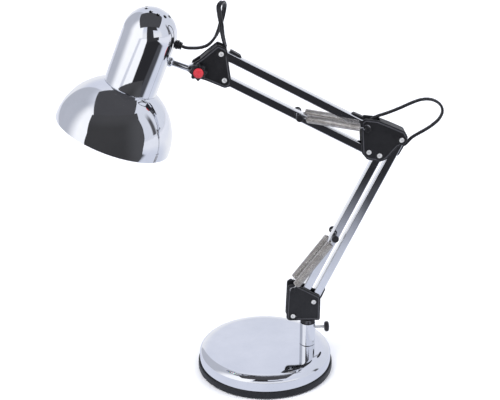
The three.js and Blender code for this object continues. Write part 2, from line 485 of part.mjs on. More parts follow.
// ---------------------------------------------------------------- free loops of flex
export const LOOP_HEAD = [];
{
  const s = Math.sin(HEAD_TILT), c = Math.cos(HEAD_TILT);
  const at = (x, z) => [RIM[0] + x * c + z * s, RIM[1] - x * s + z * c];
  const e0 = at(CAP_R + 7.5, GLAND_Z), e1 = at(CAP_R + 12, GLAND_Z);
  const pts = [[e0[0], 0, e0[1]], [e1[0], 0.2, e1[1]],
    [-82.0, 1.5, 396.6], [-72.4, 5.0, 395.8], [-63.7, 8.5, 397.6], [-56.6, 11.5, 403.9], [-51.8, 13.2, 412.6], [-47.9, 13.6, 425.0], [-45.6, 11.4, 436.2],
    [-45.6, 5.2, 444.6], [-48.4, -2.0, 448.0], [-51.9, -8.6, 445.4], [-51.4, -12.4, 436.6], [-49.6, -12.2, 426.4], [-48.4, -8.8, 415.4], [-46.4, -4.0, 404.6], [-44.6, -0.8, 398.2]];
  for (const p of pts) LOOP_HEAD.push(p);
  add("cord_loop_head", sweep(pts, inner, 8, 22), "gloss");
}
export const LOOP_ELBOW = [[116.6, 0, 310.6], [119.6, 0, 312.6], [125.4, 0, 315.0], [135.9, 0, 318.4], [149.7, 0, 323.9], [162.8, 0, 329.8], [172.4, 0, 332.9], [181.7, 0, 333.2], [190.0, 0, 330.2], [195.6, 0, 324.6], [197.1, 0, 317.8],
  [194.3, 0, 310.6], [188.0, 0, 303.8], [179.1, 0, 297.4], [169.6, 0, 291.8], [163.4, 0, 287.6], [159.6, 0, 283.2]];
add("cord_loop_elbow", sweep(LOOP_ELBOW, inner, 8, 22), "gloss");
{
  // lead inside the base bracket and spigot, and inside the base
  add("cord_run_base", sweep([[POST_X, 0, 77.4], [POST_X, 0, 74], [POST_X, 0, 50], [POST_X, 0, 17], [POST_X, 0, 12.4], [48.8, 3.2, 8.4], [44.4, 9.4, 7.8], [38.5, 14.6, 9.8], [28, 18, 11.4], [13, 18.5, 11.5], [4, 23, 11.3], [0, 38, 11.0], [0, 58, 9.4], [0, 68, 8.6], [0, 73, 8.6]], 2.0, 6, 34), "gloss");
}

export default lamp;
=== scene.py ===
# Swing arm desk lamp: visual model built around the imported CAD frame.
# Lengths in this script are millimetres and are scaled to metres when a mesh is made.
import math

import bmesh
import bpy
import numpy as np
from mathutils import Matrix, Vector


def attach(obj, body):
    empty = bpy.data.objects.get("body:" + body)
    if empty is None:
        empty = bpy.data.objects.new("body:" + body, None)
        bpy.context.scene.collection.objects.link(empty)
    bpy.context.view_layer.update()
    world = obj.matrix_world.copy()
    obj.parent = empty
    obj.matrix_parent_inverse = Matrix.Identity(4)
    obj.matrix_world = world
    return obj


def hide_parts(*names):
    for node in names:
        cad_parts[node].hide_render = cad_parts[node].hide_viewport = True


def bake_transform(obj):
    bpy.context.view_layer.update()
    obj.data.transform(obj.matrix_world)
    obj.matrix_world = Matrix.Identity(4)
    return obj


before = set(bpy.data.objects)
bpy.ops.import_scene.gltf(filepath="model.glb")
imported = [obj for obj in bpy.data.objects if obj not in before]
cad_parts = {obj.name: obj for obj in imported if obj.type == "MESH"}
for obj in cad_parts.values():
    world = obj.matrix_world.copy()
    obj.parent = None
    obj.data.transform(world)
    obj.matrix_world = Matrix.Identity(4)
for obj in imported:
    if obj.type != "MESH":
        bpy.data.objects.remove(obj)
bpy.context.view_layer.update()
MM = 0.001
pi = math.pi

# ------------------------------------------------------------------ dimensions, as in the CAD source
BASE_R, COVER_R, COVER_T, COVER_TOP, COVER_BOTTOM, SHOULDER, SHOULDER_H = 80, 78.3, 0.9, 27.8, 2.4, 14.5, 9
POST_X, POST_R, POST_RI, POST_TOP = 50.5, 9.3, 8.2, 56.6
SPIGOT_R, COLLAR_R = 7.9, 8.6
THUMB_Z, THUMB_R, THUMB_KNOB_X, THUMB_KNOB_R, THUMB_KNOB_T = 49.3, 1.7, 70.6, 6.1, 5.4
P1, P2, LOWER = (32.2, 68.2), (56.5, 86.3), (95.1, 201.5)
E1, E2 = (P1[0] + LOWER[0], P1[1] + LOWER[1]), (P2[0] + LOWER[0], P2[1] + LOWER[1])
E3, E4, UPPER = (115.0, 274.0), (111.8, 303.7), (-161.6, 87.9)
H3, H4 = (E3[0] + UPPER[0], E3[1] + UPPER[1]), (E4[0] + UPPER[0], E4[1] + UPPER[1])
KNOB = (-75.0, 374.0)
TUBE, TUBE_WALL, PIVOT_HOLE = 9.5, 1.0, 2.3
CHEEK_IN, CHEEK_OUT = 5.15, 7.8
SCREW_R, HEAD_R, BORE_R, BORE_DEPTH = 1.9, 3.0, 3.45, 1.5
SPRING_Y, SPRING_R, SPRING_WIRE = 9.9, 4.7, 0.9
PIN_R, PIN_CAP_R, PIN_END = 2.0, 4.3, 15.3
ANCHOR, STUD_R = (30.9, 104.6), 2.9
K_AT, K_OFF, L_AT, L_OFF = 0.493, 1.2, 0.504, 1.2
TILT = math.radians(21.3)
RIM = (-170.6, 299.6)
BOWL_R, BOWL_T = 66, 0.8
CAP_R, CAP_T, CAP_BOTTOM, DOME_Z = 29.8, 0.8, 59.3, 122.2
STEM_Z, STEM_R, GLAND_Z = 100.5, 3.4, 121.4
VENT_R, VENT_RING = 2.0, 13.4
CORD = 4.2                              # round lead
FLAT = 5.2                              # flat twin lead of the two free loops, across; same section area
BASE_BRACKET = ([[24.2, 62.8], [64.2, 62.2], [64.4, 93.2], [50.6, 101.2], [36.4, 109.2], [25.8, 109.4]], [5, 2.5, 4, 7, 4, 3])
ELBOW = ([[105.4, 296.4], [104.9, 309.6], [109.6, 313.9], [123.8, 311.9], [139.3, 305.2], [154.8, 297.9], [158.6, 291.0], [155.8, 283.2], [147.4, 279.6], [135.6, 265.4], [128.4, 262.2], [113.4, 265.4], [107.2, 273.0]],
         [0, 2, 3, 6, 8, 5, 4, 4, 5, 4, 5, 5, 4])
HEAD_BRACKET = ([[-53.2, 402.4], [-43.6, 397.4], [-39.4, 363.0], [-39.6, 355.2], [-46.2, 353.2], [-67.0, 362.4], [-77.5, 365.6], [-83.6, 373.0], [-80.6, 381.6], [-72.9, 386.4]],
                [4, 4, 3, 3, 4, 3, 4, 4, 4, 2])


def along(a, vec, t, off):
    l = math.hypot(*vec)
    u = (vec[0] / l, vec[1] / l)
    return (a[0] + vec[0] * t - u[1] * off, a[1] + vec[1] * t + u[0] * off)


LL, UL = math.hypot(*LOWER), math.hypot(*UPPER)
L_PIN, K_PIN = along(P1, LOWER, L_AT, L_OFF), along(E3, UPPER, K_AT, -K_OFF)


# ------------------------------------------------------------------ camera
def camera():
    pitch, yaw, dist = math.radians(23.5), math.radians(3.5), 1481.07
    d = Vector((math.sin(yaw) * math.cos(pitch), math.cos(yaw) * math.cos(pitch), -math.sin(pitch)))
    data = bpy.data.cameras.new("camera")
    data.sensor_width, data.lens = 36.0, 93.6
    data.clip_start, data.clip_end = 0.05, 40
    cam = bpy.data.objects.new("camera", data)
    bpy.context.scene.collection.objects.link(cam)
    cam.location = (Vector((-18.24, 0, 216.21)) - d * dist) * MM
    cam.rotation_mode = "QUATERNION"
    cam.rotation_quaternion = d.to_track_quat("-Z", "Y")
    bpy.context.scene.camera = cam


camera()


# ------------------------------------------------------------------ placement and mesh helpers
class At:
    """Rigid placement: origin and local X and Z directions."""

    def __init__(self, o=(0, 0, 0), ex=(1, 0, 0), ez=(0, 0, 1)):
        ex, ez = np.array(ex, float), np.array(ez, float)
        ex /= np.linalg.norm(ex)
        ez -= ex * (ez @ ex)
        ez /= np.linalg.norm(ez)
        self.o, self.r = np.array(o, float), np.stack([ex, np.cross(ez, ex), ez], 1)

    def __call__(self, p):
        return np.asarray(p, float) @ self.r.T + self.o


HEAD = At((RIM[0], 0, RIM[1]), (math.cos(TILT), 0, -math.sin(TILT)), (math.sin(TILT), 0, math.cos(TILT)))


def bar_at(p, vec):
    return At((p[0], 0, p[1]), (vec[0], 0, vec[1]), (-vec[1], 0, vec[0]))


def moved(shape, at):
    return at(shape[0]), shape[1]


def joined(*shapes):
    v, f, n = [], [], 0
    for s in shapes:
        v.append(np.asarray(s[0], float))
        f += [tuple(i + n for i in face) for face in s[1]]
        n += len(s[0])
    return np.concatenate(v), f


def lathe(profile, n=96, closed=False, mod=None):
    """Profile of (r, z) turned about Z. closed joins its last point to its first."""
    v, rows, f = [], [], []
    for r, z in profile:
        if r < 1e-6:
            rows.append([len(v)])
            v.append((0, 0, z))
            continue
        row = []
        for i in range(n):
            a = 2 * pi * i / n
            q = r + (mod(a, r, z) if mod else 0)
            row.append(len(v))
            v.append((q * math.cos(a), q * math.sin(a), z))
        rows.append(row)
    pairs = list(zip(rows[:-1], rows[1:])) + ([(rows[-1], rows[0])] if closed else [])
    for a, b in pairs:
        for i in range(n):
            j = (i + 1) % n
            if len(a) == 1 and len(b) == 1:
                break
            if len(a) == 1:
                f.append((a[0], b[j], b[i]))
            elif len(b) == 1:
                f.append((a[i], a[j], b[0]))
            else:
                f.append((a[i], a[j], b[j], b[i]))
    return np.array(v, float), f


def arc(cx, cz, r, a0, a1, n):
    """Points of an arc in (r, z), angles in degrees."""
    return [(cx + r * math.cos(math.radians(a0 + (a1 - a0) * i / n)), cz + r * math.sin(math.radians(a0 + (a1 - a0) * i / n))) for i in range(n + 1)]


def turned_edge(points, radii, seg=4):
    """Open profile with its inner corners rounded."""
    out = []
    for i, p in enumerate(points):
        r = radii[i] if i < len(radii) else 0
        if not r or i in (0, len(points) - 1):
            out.append(tuple(p))
            continue
        out += corner(points[i - 1], p, points[i + 1], r, seg)
    return out


def corner(a, p, b, r, seg):
    p, a, b = np.array(p, float), np.array(a, float), np.array(b, float)
    va, vb = a - p, b - p
    la, lb = np.linalg.norm(va), np.linalg.norm(vb)
    va, vb = va / la, vb / lb
    half = math.acos(max(-1, min(1, float(va @ vb)))) / 2
    if half > pi / 2 - 0.02:
        return [tuple(p)]
    d = min(r / math.tan(half), la * 0.48, lb * 0.48)
    rr = d * math.tan(half)
    mid = (va + vb) / np.linalg.norm(va + vb)
    c = p + mid * rr / math.sin(half)
    s, e = p + va * d, p + vb * d
    a0, a1 = math.atan2(s[1] - c[1], s[0] - c[0]), math.atan2(e[1] - c[1], e[0] - c[0])
    da = (a1 - a0 + pi) % (2 * pi) - pi
    return [(c[0] + rr * math.cos(a0 + da * k / seg), c[1] + rr * math.sin(a0 + da * k / seg)) for k in range(seg + 1)]


def rounded(points, radii, seg=6):
    out, n = [], len(points)
    for i in range(n):
        r = radii[i] if isinstance(radii, (list, tuple)) else radii
        out += corner(points[i - 1], points[i], points[(i + 1) % n], r, seg) if r else [tuple(points[i])]
    return out


def inset(points, d):
    """Polygon moved inwards by d."""
    p = np.array(points, float)
    n = len(p)
    area = sum(p[i - 1][0] * p[i][1] - p[i][0] * p[i - 1][1] for i in range(n)) / 2
    s = 1 if area > 0 else -1
    out = []
    for i in range(n):
        e0, e1 = p[i] - p[i - 1], p[(i + 1) % n] - p[i]
        e0, e1 = e0 / np.linalg.norm(e0), e1 / np.linalg.norm(e1)
        n0, n1 = s * np.array([-e0[1], e0[0]]), s * np.array([-e1[1], e1[0]])
        m = n0 + n1
        m /= np.linalg.norm(m)
        out.append(tuple(p[i] + m * d / max(0.35, float(m @ n0))))
    return out


def prism(points, y0, y1):
    """Outline in XZ extruded along Y."""
    n = len(points)
    v = [(x, y0, z) for x, z in points] + [(x, y1, z) for x, z in points]
    f = [tuple(range(n - 1, -1, -1)), tuple(range(n, 2 * n))]
    f += [(i, (i + 1) % n, n + (i + 1) % n, n + i) for i in range(n)]
    return np.array(v, float), f


def block(x0, x1, y0, y1, z0, z1):
    return prism([(x0, z0), (x1, z0), (x1, z1), (x0, z1)], y0, y1)


def rod(p, axis, r, a, b, n=32):
    """Round bar through p along axis 'x', 'y' or 'z', from a to b."""
    s = lathe([(0, a), (r, a), (r, b), (0, b)], n)[0], lathe([(0, a), (r, a), (r, b), (0, b)], n)[1]
    if axis == "y":
        return s[0][:, [0, 2, 1]] * np.array([1, 1, 1]) + np.array([p[0], 0, p[1]]), s[1]
    if axis == "x":
        return s[0][:, [2, 0, 1]] + np.array([0, p[0], p[1]]), s[1]
    return s[0] + np.array([p[0], p[1], 0]), s[1]


def smooth_path(points, step=1.0, closed=False):
    """Centripetal Catmull-Rom through the points, resampled evenly."""
    P = np.array(points, float)
    if closed:
        P = np.concatenate([P[-1:], P, P[:2]])
    else:
        P = np.concatenate([[2 * P[0] - P[1]], P, [2 * P[-1] - P[-2]]])
    out = []
    for i in range(1, len(P) - 2):
        p0, p1, p2, p3 = P[i - 1 : i + 3]
        t0 = 0.0
        t1 = t0 + np.linalg.norm(p1 - p0) ** 0.5
        t2 = t1 + np.linalg.norm(p2 - p1) ** 0.5
        t3 = t2 + np.linalg.norm(p3 - p2) ** 0.5
        for t in np.linspace(t1, t2, 12, endpoint=False):
            a1 = (t1 - t) / (t1 - t0) * p0 + (t - t0) / (t1 - t0) * p1
            a2 = (t2 - t) / (t2 - t1) * p1 + (t - t1) / (t2 - t1) * p2
            a3 = (t3 - t) / (t3 - t2) * p2 + (t - t2) / (t3 - t2) * p3
            b1 = (t2 - t) / (t2 - t0) * a1 + (t - t0) / (t2 - t0) * a2
            b2 = (t3 - t) / (t3 - t1) * a2 + (t - t1) / (t3 - t1) * a3
            out.append((t2 - t) / (t2 - t1) * b1 + (t - t1) / (t2 - t1) * b2)
    if not closed:
        out.append(P[-2])
    return resample(np.array(out), step, closed)


def resample(P, step, closed=False):
    if closed:
        P = np.concatenate([P, P[:1]])
    s = np.concatenate([[0], np.cumsum(np.linalg.norm(np.diff(P, axis=0), axis=1))])
    n = max(3, int(round(s[-1] / step)))
    t = np.linspace(0, s[-1], n + 1)
    out = np.stack([np.interp(t, s, P[:, k]) for k in range(3)], 1)
    return out[:-1] if closed else out


def tangents(P, closed=False):
    if closed:
        t = np.roll(P, -1, 0) - np.roll(P, 1, 0)
    else:
        t = np.gradient(P, axis=0)
    return t / np.linalg.norm(t, axis=1)[:, None]


def swept(P, section, closed=False, wide=None, scale=None):
    """Section points (a, b) carried along P. wide gives the direction of a at each point; without it the frame is carried without twist."""
    P, T = np.array(P, float), tangents(np.array(P, float), closed)
    n = len(P)
    if wide is None:
        w = np.cross(T[0], [0.31, 0.57, 0.76])
        w /= np.linalg.norm(w)
        W = [w]
        for i in range(1, n):
            w = W[-1] - T[i] * (W[-1] @ T[i])
            W.append(w / np.linalg.norm(w))
        W = np.array(W)
    else:
        W = np.array(wide, float)
        W = W - T * np.sum(W * T, 1)[:, None]
        W /= np.linalg.norm(W, axis=1)[:, None]
    B = np.cross(T, W)
    S = np.array(section, float)
    m = len(S)
    k = np.ones(n) if scale is None else np.array(scale, float)
    v = (P[:, None, :] + W[:, None, :] * S[None, :, :1] * k[:, None, None] + B[:, None, :] * S[None, :, 1:] * k[:, None, None]).reshape(-1, 3)
    f = []
    for i in range(n if closed else n - 1):
        j = (i + 1) % n
        f += [(i * m + q, i * m + (q + 1) % m, j * m + (q + 1) % m, j * m + q) for q in range(m)]
    if not closed:
        f += [tuple(range(m - 1, -1, -1)), tuple((n - 1) * m + q for q in range(m))]
    return v, f


def circle(r, n=10):
    return [(r * math.cos(2 * pi * i / n), r * math.sin(2 * pi * i / n)) for i in range(n)]


def as_object(name, shape):
    me = bpy.data.meshes.new(name)
    me.from_pydata([tuple(float(c) * MM for c in p) for p in shape[0]], [], shape[1])
    me.update()
    bm = bmesh.new()
    bm.from_mesh(me)
    bmesh.ops.recalc_face_normals(bm, faces=bm.faces)
    bm.to_mesh(me)
    bm.free()
    ob = bpy.data.objects.new(name, me)
    bpy.context.scene.collection.objects.link(ob)
    return ob


def applied(ob):
    bpy.context.view_layer.update()
    dg = bpy.context.evaluated_depsgraph_get()
    me = bpy.data.meshes.new_from_object(ob.evaluated_get(dg), depsgraph=dg)
    ob.modifiers.clear()
    old, ob.data = ob.data, me
    bpy.data.meshes.remove(old)
    return ob


def combine(ob, operation, shapes):
    """Boolean of ob with each shape in turn."""
    if not shapes:
        return ob
    helpers = []
    for s in shapes:
        h = as_object("helper", s)
        m = ob.modifiers.new("b", "BOOLEAN")
        m.operation, m.object, m.solver = operation, h, "EXACT"
        helpers.append(h)
    applied(ob)
    for h in helpers:
        me = h.data
        bpy.data.objects.remove(h)
        bpy.data.meshes.remove(me)
    return ob


def bevelled(ob, width, seg=2, angle=40):
    m = ob.modifiers.new("v", "BEVEL")
    m.width, m.segments, m.limit_method, m.angle_limit = width * MM, seg, "ANGLE", math.radians(angle)
    m.use_clamp_overlap = True
    return applied(ob)


def shaded(ob, deg=32):
    ob.data.shade_smooth()
    ob.data.set_sharp_from_angle(angle=math.radians(deg))
    return ob


def piece(ob, body, nodes, mats, deg=32, pick=None, blend=None):
    """Gives the object its materials and body and hides the CAD nodes it stands for."""
    mats = mats if isinstance(mats, (list, tuple)) else [mats]
    ob.data.materials.clear()
    for m in mats:
        ob.data.materials.append(m)
    if pick:
        for p in ob.data.polygons:
            p.material_index = pick(np.array(p.center) / MM)
    shaded(ob, deg)
    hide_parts(*nodes)
    if blend:
        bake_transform(ob)
    else:
        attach(ob, body)
    return ob


# ------------------------------------------------------------------ materials
class Nodes:
    def __init__(self, name):
        self.m = bpy.data.materials.new(name)
        self.m.use_nodes = True
        self.t = self.m.node_tree
        self.t.nodes.clear()
        self.out = self.n("ShaderNodeOutputMaterial")
        self.p = self.n("ShaderNodeBsdfPrincipled")
        self.link(self.p.outputs[0], self.out.inputs[0])
        self.c = self.n("ShaderNodeTexCoord")

    def n(self, kind, **values):
        node = self.t.nodes.new(kind)
        for k, v in values.items():
            if k.startswith("_"):
                setattr(node, k[1:], v)
            else:
                node.inputs[k.replace("_", " ")].default_value = v
        return node

    def link(self, a, b):
        self.t.links.new(a, b)

    def noise(self, scale, detail=3.0, rough=0.55, stretch=None):
        t = self.n("ShaderNodeTexNoise", Scale=scale, Detail=detail, Roughness=rough)
        if stretch:
            mp = self.n("ShaderNodeMapping")
            mp.inputs["Scale"].default_value = stretch
            self.link(self.c.outputs["Object"], mp.inputs["Vector"])
            self.link(mp.outputs[0], t.inputs["Vector"])
        else:
            self.link(self.c.outputs["Object"], t.inputs["Vector"])
        return t.outputs["Fac"]

    def ranged(self, value, lo, hi, a=0.0, b=1.0):
        r = self.n("ShaderNodeMapRange")
        r.inputs["From Min"].default_value, r.inputs["From Max"].default_value = lo, hi
        r.inputs["To Min"].default_value, r.inputs["To Max"].default_value = a, b
        self.link(value, r.inputs["Value"])
        return r.outputs["Result"]

    def mixed(self, fac, a, b):
        r = self.n("ShaderNodeMix")
        r.data_type = "RGBA"
        for sock, val in ((r.inputs[6], a), (r.inputs[7], b)):
            if isinstance(val, tuple):
                sock.default_value = (*val, 1)
            else:
                self.link(val, sock)
        self.link(fac, r.inputs[0])
        return r.outputs[2]

    def bump(self, height, distance, strength=1.0, under=None):
        b = self.n("ShaderNodeBump", Strength=strength, Distance=distance)
        self.link(height, b.inputs["Height"])
        if under is not None:
            self.link(under, b.inputs["Normal"])
        return b.outputs["Normal"]


def srgb(r, g, b):
    f = lambda c: (c / 255 / 12.92) if c / 255 <= 0.04045 else ((c / 255 + 0.055) / 1.055) ** 2.4
    return (f(r), f(g), f(b))


def finish_material(name, colour, colour2, rough, metal=0.0, spec=0.5, fine=None, coarse=None, coat=0.0, vary=40.0, stretch=None, coat_rough=0.1):
    """Principled shader with colour and roughness that vary slowly, and fine and coarse bumps given as (scale, height in mm)."""
    k = Nodes(name)
    p = k.p
    p.inputs["Metallic"].default_value = metal
    p.inputs["Specular IOR Level"].default_value = spec
    if coat:
        p.inputs["Coat Weight"].default_value = coat
        p.inputs["Coat Roughness"].default_value = coat_rough
    slow = k.noise(vary, 4.0, 0.6)
    k.link(k.mixed(k.ranged(slow, 0.35, 0.65), colour, colour2), p.inputs["Base Color"])
    r = k.noise(vary * 5, 3.0, 0.6, stretch)
    k.link(k.ranged(r, 0.3, 0.7, rough[0], rough[1]), p.inputs["Roughness"])
    normal = None
    if coarse:
        normal = k.bump(k.noise(coarse[0], 2.0, 0.5), coarse[1] * MM)
    if fine:
        normal = k.bump(k.noise(fine[0], 3.0, 0.6, stretch), fine[1] * MM, under=normal)
    if normal is not None:
        k.link(normal, p.inputs["Normal"])
    return k.m


CHROME = finish_material("polished_chrome", (0.86, 0.87, 0.90), (0.80, 0.815, 0.85), (0.03, 0.065), 1.0, coarse=(16, 0.02), vary=22)
BAR_CHROME = finish_material("drawn_tube_chrome", (0.85, 0.86, 0.89), (0.76, 0.77, 0.80), (0.05, 0.11), 1.0, coarse=(22, 0.015), vary=30, stretch=(1, 1, 1))
SATIN = finish_material("reflector_inside_satin", (0.78, 0.78, 0.79), (0.70, 0.70, 0.71), (0.26, 0.36), 1.0, fine=(900, 0.006), vary=60)
NICKEL = finish_material("nickel_spring_wire", (0.72, 0.69, 0.65), (0.55, 0.52, 0.485), (0.14, 0.26), 1.0, vary=140)
# lighter copy of the spring wire for the hooks: a painted highlight, the hooks being the same nickel wire as the coils
SPRING_HOOK_PAINTED_HIGHLIGHT = finish_material("spring_hook_painted_highlight", (0.86, 0.86, 0.86), (0.76, 0.76, 0.77), (0.12, 0.22), 1.0, vary=140)
SCREW = finish_material("bright_screw_head", (0.80, 0.80, 0.79), (0.66, 0.66, 0.66), (0.30, 0.42), 0.45, fine=(1600, 0.01), vary=160)
STEEL = finish_material("zinc_plated_steel", (0.80, 0.80, 0.79), (0.62, 0.62, 0.61), (0.20, 0.36), 1.0, fine=(1600, 0.01), vary=160)
IRON = finish_material("cast_iron", (0.085, 0.085, 0.09), (0.045, 0.045, 0.05), (0.6, 0.8), 0.7, fine=(700, 0.12), coarse=(160, 0.3), vary=60)
BLACK = finish_material("textured_black_moulding", (0.0105, 0.0105, 0.0125), (0.0065, 0.0065, 0.008), (0.34, 0.50), 0.0, spec=0.42, fine=(1500, 0.08), coarse=(420, 0.14), vary=60)
# lighter copy of the black moulding for the ridge bead: a painted highlight for the light line along the ridge
BLACK_RIDGE_PAINTED_HIGHLIGHT = finish_material("black_moulding_ridge_painted_highlight", (0.050, 0.050, 0.058), (0.036, 0.036, 0.043), (0.30, 0.42), 0.0, spec=0.6, fine=(1500, 0.02), vary=60)
PIN_BLACK = finish_material("smooth_black_nylon", (0.008, 0.008, 0.010), (0.013, 0.013, 0.015), (0.26, 0.36), 0.0, spec=0.45, fine=(900, 0.01), vary=120)
RUBBER = finish_material("rim_rubber", (0.0065, 0.007, 0.0085), (0.011, 0.012, 0.0145), (0.38, 0.52), 0.0, spec=0.34, fine=(1300, 0.02), coarse=(90, 0.05), vary=45)
FOAM = finish_material("foam_foot", (0.020, 0.020, 0.021), (0.034, 0.034, 0.035), (0.85, 0.95), 0.0, spec=0.2, fine=(1800, 0.12), coarse=(600, 0.1), vary=80)
RED = finish_material("red_cap_plastic", srgb(200, 52, 62), srgb(184, 42, 53), (0.24, 0.33), 0.0, spec=0.5, fine=(1500, 0.012), vary=160)
CERAMIC = finish_material("lampholder_white", (0.84, 0.83, 0.79), (0.76, 0.745, 0.70), (0.36, 0.48), 0.0, fine=(900, 0.02), vary=60)
BRASS = finish_material("nickelled_bulb_cap", (0.72, 0.66, 0.52), (0.56, 0.50, 0.38), (0.22, 0.34), 1.0, fine=(1400, 0.01), vary=120)
FLEX = finish_material("glossy_flex_sheath", (0.0075, 0.0075, 0.009), (0.012, 0.012, 0.014), (0.20, 0.30), 0.0, spec=0.55, coarse=(140, 0.05), vary=90)


def opal():
    k = Nodes("opal_bulb_glass")
    p = k.p
    slow = k.noise(60, 3.0)
    k.link(k.mixed(slow, (0.90, 0.89, 0.86), (0.84, 0.83, 0.80)), p.inputs["Base Color"])
    k.link(k.ranged(k.noise(400, 2.0), 0.3, 0.7, 0.12, 0.2), p.inputs["Roughness"])
    p.inputs["Subsurface Weight"].default_value = 0.35
    p.inputs["Subsurface Scale"].default_value = 0.004
    p.inputs["Coat Weight"].default_value = 0.4
    return k.m


OPAL = opal()

# ------------------------------------------------------------------ free loops of flex
c_, s_ = math.cos(TILT), math.sin(TILT)
e0 = HEAD((CAP_R + 7.5, 0, GLAND_Z))
e1 = HEAD((CAP_R + 12, 0, GLAND_Z))
LOOP_HEAD = [tuple(e0), (e1[0], 0.2, e1[2]),
             (-82.0, 1.5, 396.6), (-72.4, 5.0, 395.8), (-63.7, 8.5, 397.6), (-56.6, 11.5, 403.9), (-51.8, 13.2, 412.6), (-47.9, 13.6, 425.0), (-45.6, 11.4, 436.2),
             (-45.6, 5.2, 444.6), (-48.4, -2.0, 448.0), (-51.9, -8.6, 445.4), (-51.4, -12.4, 436.6), (-49.6, -12.2, 426.4), (-48.4, -8.8, 415.4), (-46.4, -4.0, 404.6), (-44.6, -0.8, 398.2)]
LOOP_ELBOW = [(116.6, 0, 310.6), (119.6, 0, 312.6), (125.4, 0, 315.0), (135.9, 0, 318.4), (149.7, 0, 323.9), (162.8, 0, 329.8), (172.4, 0, 332.9), (181.7, 0, 333.2), (190.0, 0, 330.2), (195.6, 0, 324.6), (197.1, 0, 317.8),
              (194.3, 0, 310.6), (188.0, 0, 303.8), (179.1, 0, 297.4), (169.6, 0, 291.8), (163.4, 0, 287.6), (159.6, 0, 283.2)]


def twin(width=FLAT, r=1.475, n=9):
    """Section of flat twin flex: two round cores side by side with a groove between them."""
    cx = width / 2 - r
    b = math.acos(-cx / r)
    right = [(cx + r * math.cos(-b + 2 * b * i / (n + 1)), r * math.sin(-b + 2 * b * i / (n + 1))) for i in range(1, n + 1)]
    groove = r * math.sin(b) * 0.97
    return right + [(0, groove)] + [(-x, -z) for x, z in right] + [(0, -groove)]


def flex(name, points, wide_keys, node, blend_to):
    P = smooth_path(points, 1.3)
    s = np.linspace(0, 1, len(P))
    keys = np.array([k[0] for k in wide_keys])
    W = np.stack([np.interp(s, keys, [k[1][c] for k in wide_keys]) for c in range(3)], 1)
    ob = as_object(name, swept(P, twin(), wide=W))
    piece(ob, None, [node], FLEX, deg=50, blend=blend_to)
    return ob


flex("flex_loop_head", LOOP_HEAD, [(0, (0, 1, 0)), (0.22, (0, 1, 0)), (0.40, (1, 0.25, 0)), (0.62, (1, -0.1, 0)), (0.82, (1, 0.35, 0)), (1, (0.3, 1, 0))], "cord_loop_head",
     ("head", "head_bracket", tuple(e1), (-46.4, -4.0, 404.6)))
flex("flex_loop_elbow", LOOP_ELBOW, [(0, (0, 1, 0)), (1, (0, 1, 0))], "cord_loop_elbow",
     ("elbow", "lower_right_bar", (125.4, 0, 315.0), (163.4, 0, 287.6)))

# ------------------------------------------------------------------ base
N = 144
shoulder = lambda t, n: [(COVER_R - SHOULDER + (SHOULDER - t) * math.cos(pi / 2 * i / n), COVER_TOP - SHOULDER_H + (SHOULDER_H - t) * math.sin(pi / 2 * i / n)) for i in range(n + 1)]
cover = [(0, COVER_TOP), (COVER_R - SHOULDER - 0.8, COVER_TOP)] + shoulder(0, 18)[::-1] \
    + [(COVER_R, COVER_TOP - SHOULDER_H - 0.6), (COVER_R, COVER_BOTTOM + 0.4), (COVER_R - 0.3, COVER_BOTTOM), (COVER_R - COVER_T, COVER_BOTTOM)] \
    + shoulder(COVER_T, 12) + [(0, COVER_TOP - COVER_T)]
ob = as_object("base_cover_spun", lathe(cover, N))
combine(ob, "DIFFERENCE", [rod((POST_X, 0), "z", 6.7, COVER_TOP - 4, COVER_TOP + 4, 40), rod((0, 8.6), "y", 4.2, 70, 84, 32)])
piece(ob, "base", ["base_cover"], CHROME)

ring = turned_edge([(78.6, 2.1), (78.6, 9.0), (79.5, 9.0), (BASE_R, 8.2), (BASE_R, 1.4), (79.2, 0.7), (74.2, 0.7), (74.2, 1.4), (76.0, 1.4), (77.2, 2.1)], [0, 0.15, 0.3, 0.5, 0.6, 0.5, 0.3, 0.2, 0.2, 0])
ob = as_object("rim_band", lathe(ring, N, closed=True))
combine(ob, "DIFFERENCE", [rod((0, 8.6), "y", 4.2, 70, 84, 32)])
piece(ob, "base", ["base_rim_ring"], RUBBER, deg=40)

ob = as_object("foot_pad", lathe(turned_edge([(0, 0), (70, 0), (70, 1.4), (0, 1.4)], [0, 0.4, 0.3, 0], 2), N))
combine(ob, "DIFFERENCE", [rod((30, 0), "z", 6.2, -1, 3, 40)])
piece(ob, "base", ["base_foot_pad"], FOAM)

# cable grommet: two flanges with a bored neck through the back wall
g = turned_edge([(2.4, 72.6), (5.4, 73.4), (5.4, 76.3), (3.9, 76.6), (3.9, 80.4), (4.8, 80.5), (4.6, 82.0), (3.1, 82.0), (2.4, 81.2)], [0, 0.5, 0.4, 0.2, 0.2, 0.3, 0.6, 0.4, 0])
ob = as_object("lead_grommet", (lathe(g, 40, closed=True)[0][:, [0, 2, 1]] + np.array([0, 0, 8.6]), lathe(g, 40, closed=True)[1]))
piece(ob, "base", ["base_cable_grommet"], PIN_BLACK)

# ------------------------------------------------------------------ post
post = [(4.6, 12.6), (6.2, 12.8), (6.3, 13.2), (6.3, COVER_TOP + 0.3), (POST_R - 0.35, COVER_TOP + 0.3), (POST_R, COVER_TOP + 0.65)]
post += [(POST_R, POST_TOP - 1.4)] + arc(POST_R - 0.4, POST_TOP - 0.4, 0.4, 0, 90, 4) + arc(POST_RI + 0.25, POST_TOP - 0.25, 0.25, 90, 180, 3)
post += [(POST_RI, 33), (POST_RI - 1, 32), (4.6, 32)]
ob = as_object("post", (lathe(post, 80, closed=True)[0] + np.array([POST_X, 0, 0]), lathe(post, 80, closed=True)[1]))
combine(ob, "DIFFERENCE", [rod((0, THUMB_Z), "x", THUMB_R + 0.3, POST_X, POST_X + 14, 28)])
piece(ob, "base", ["post_tube"], CHROME)


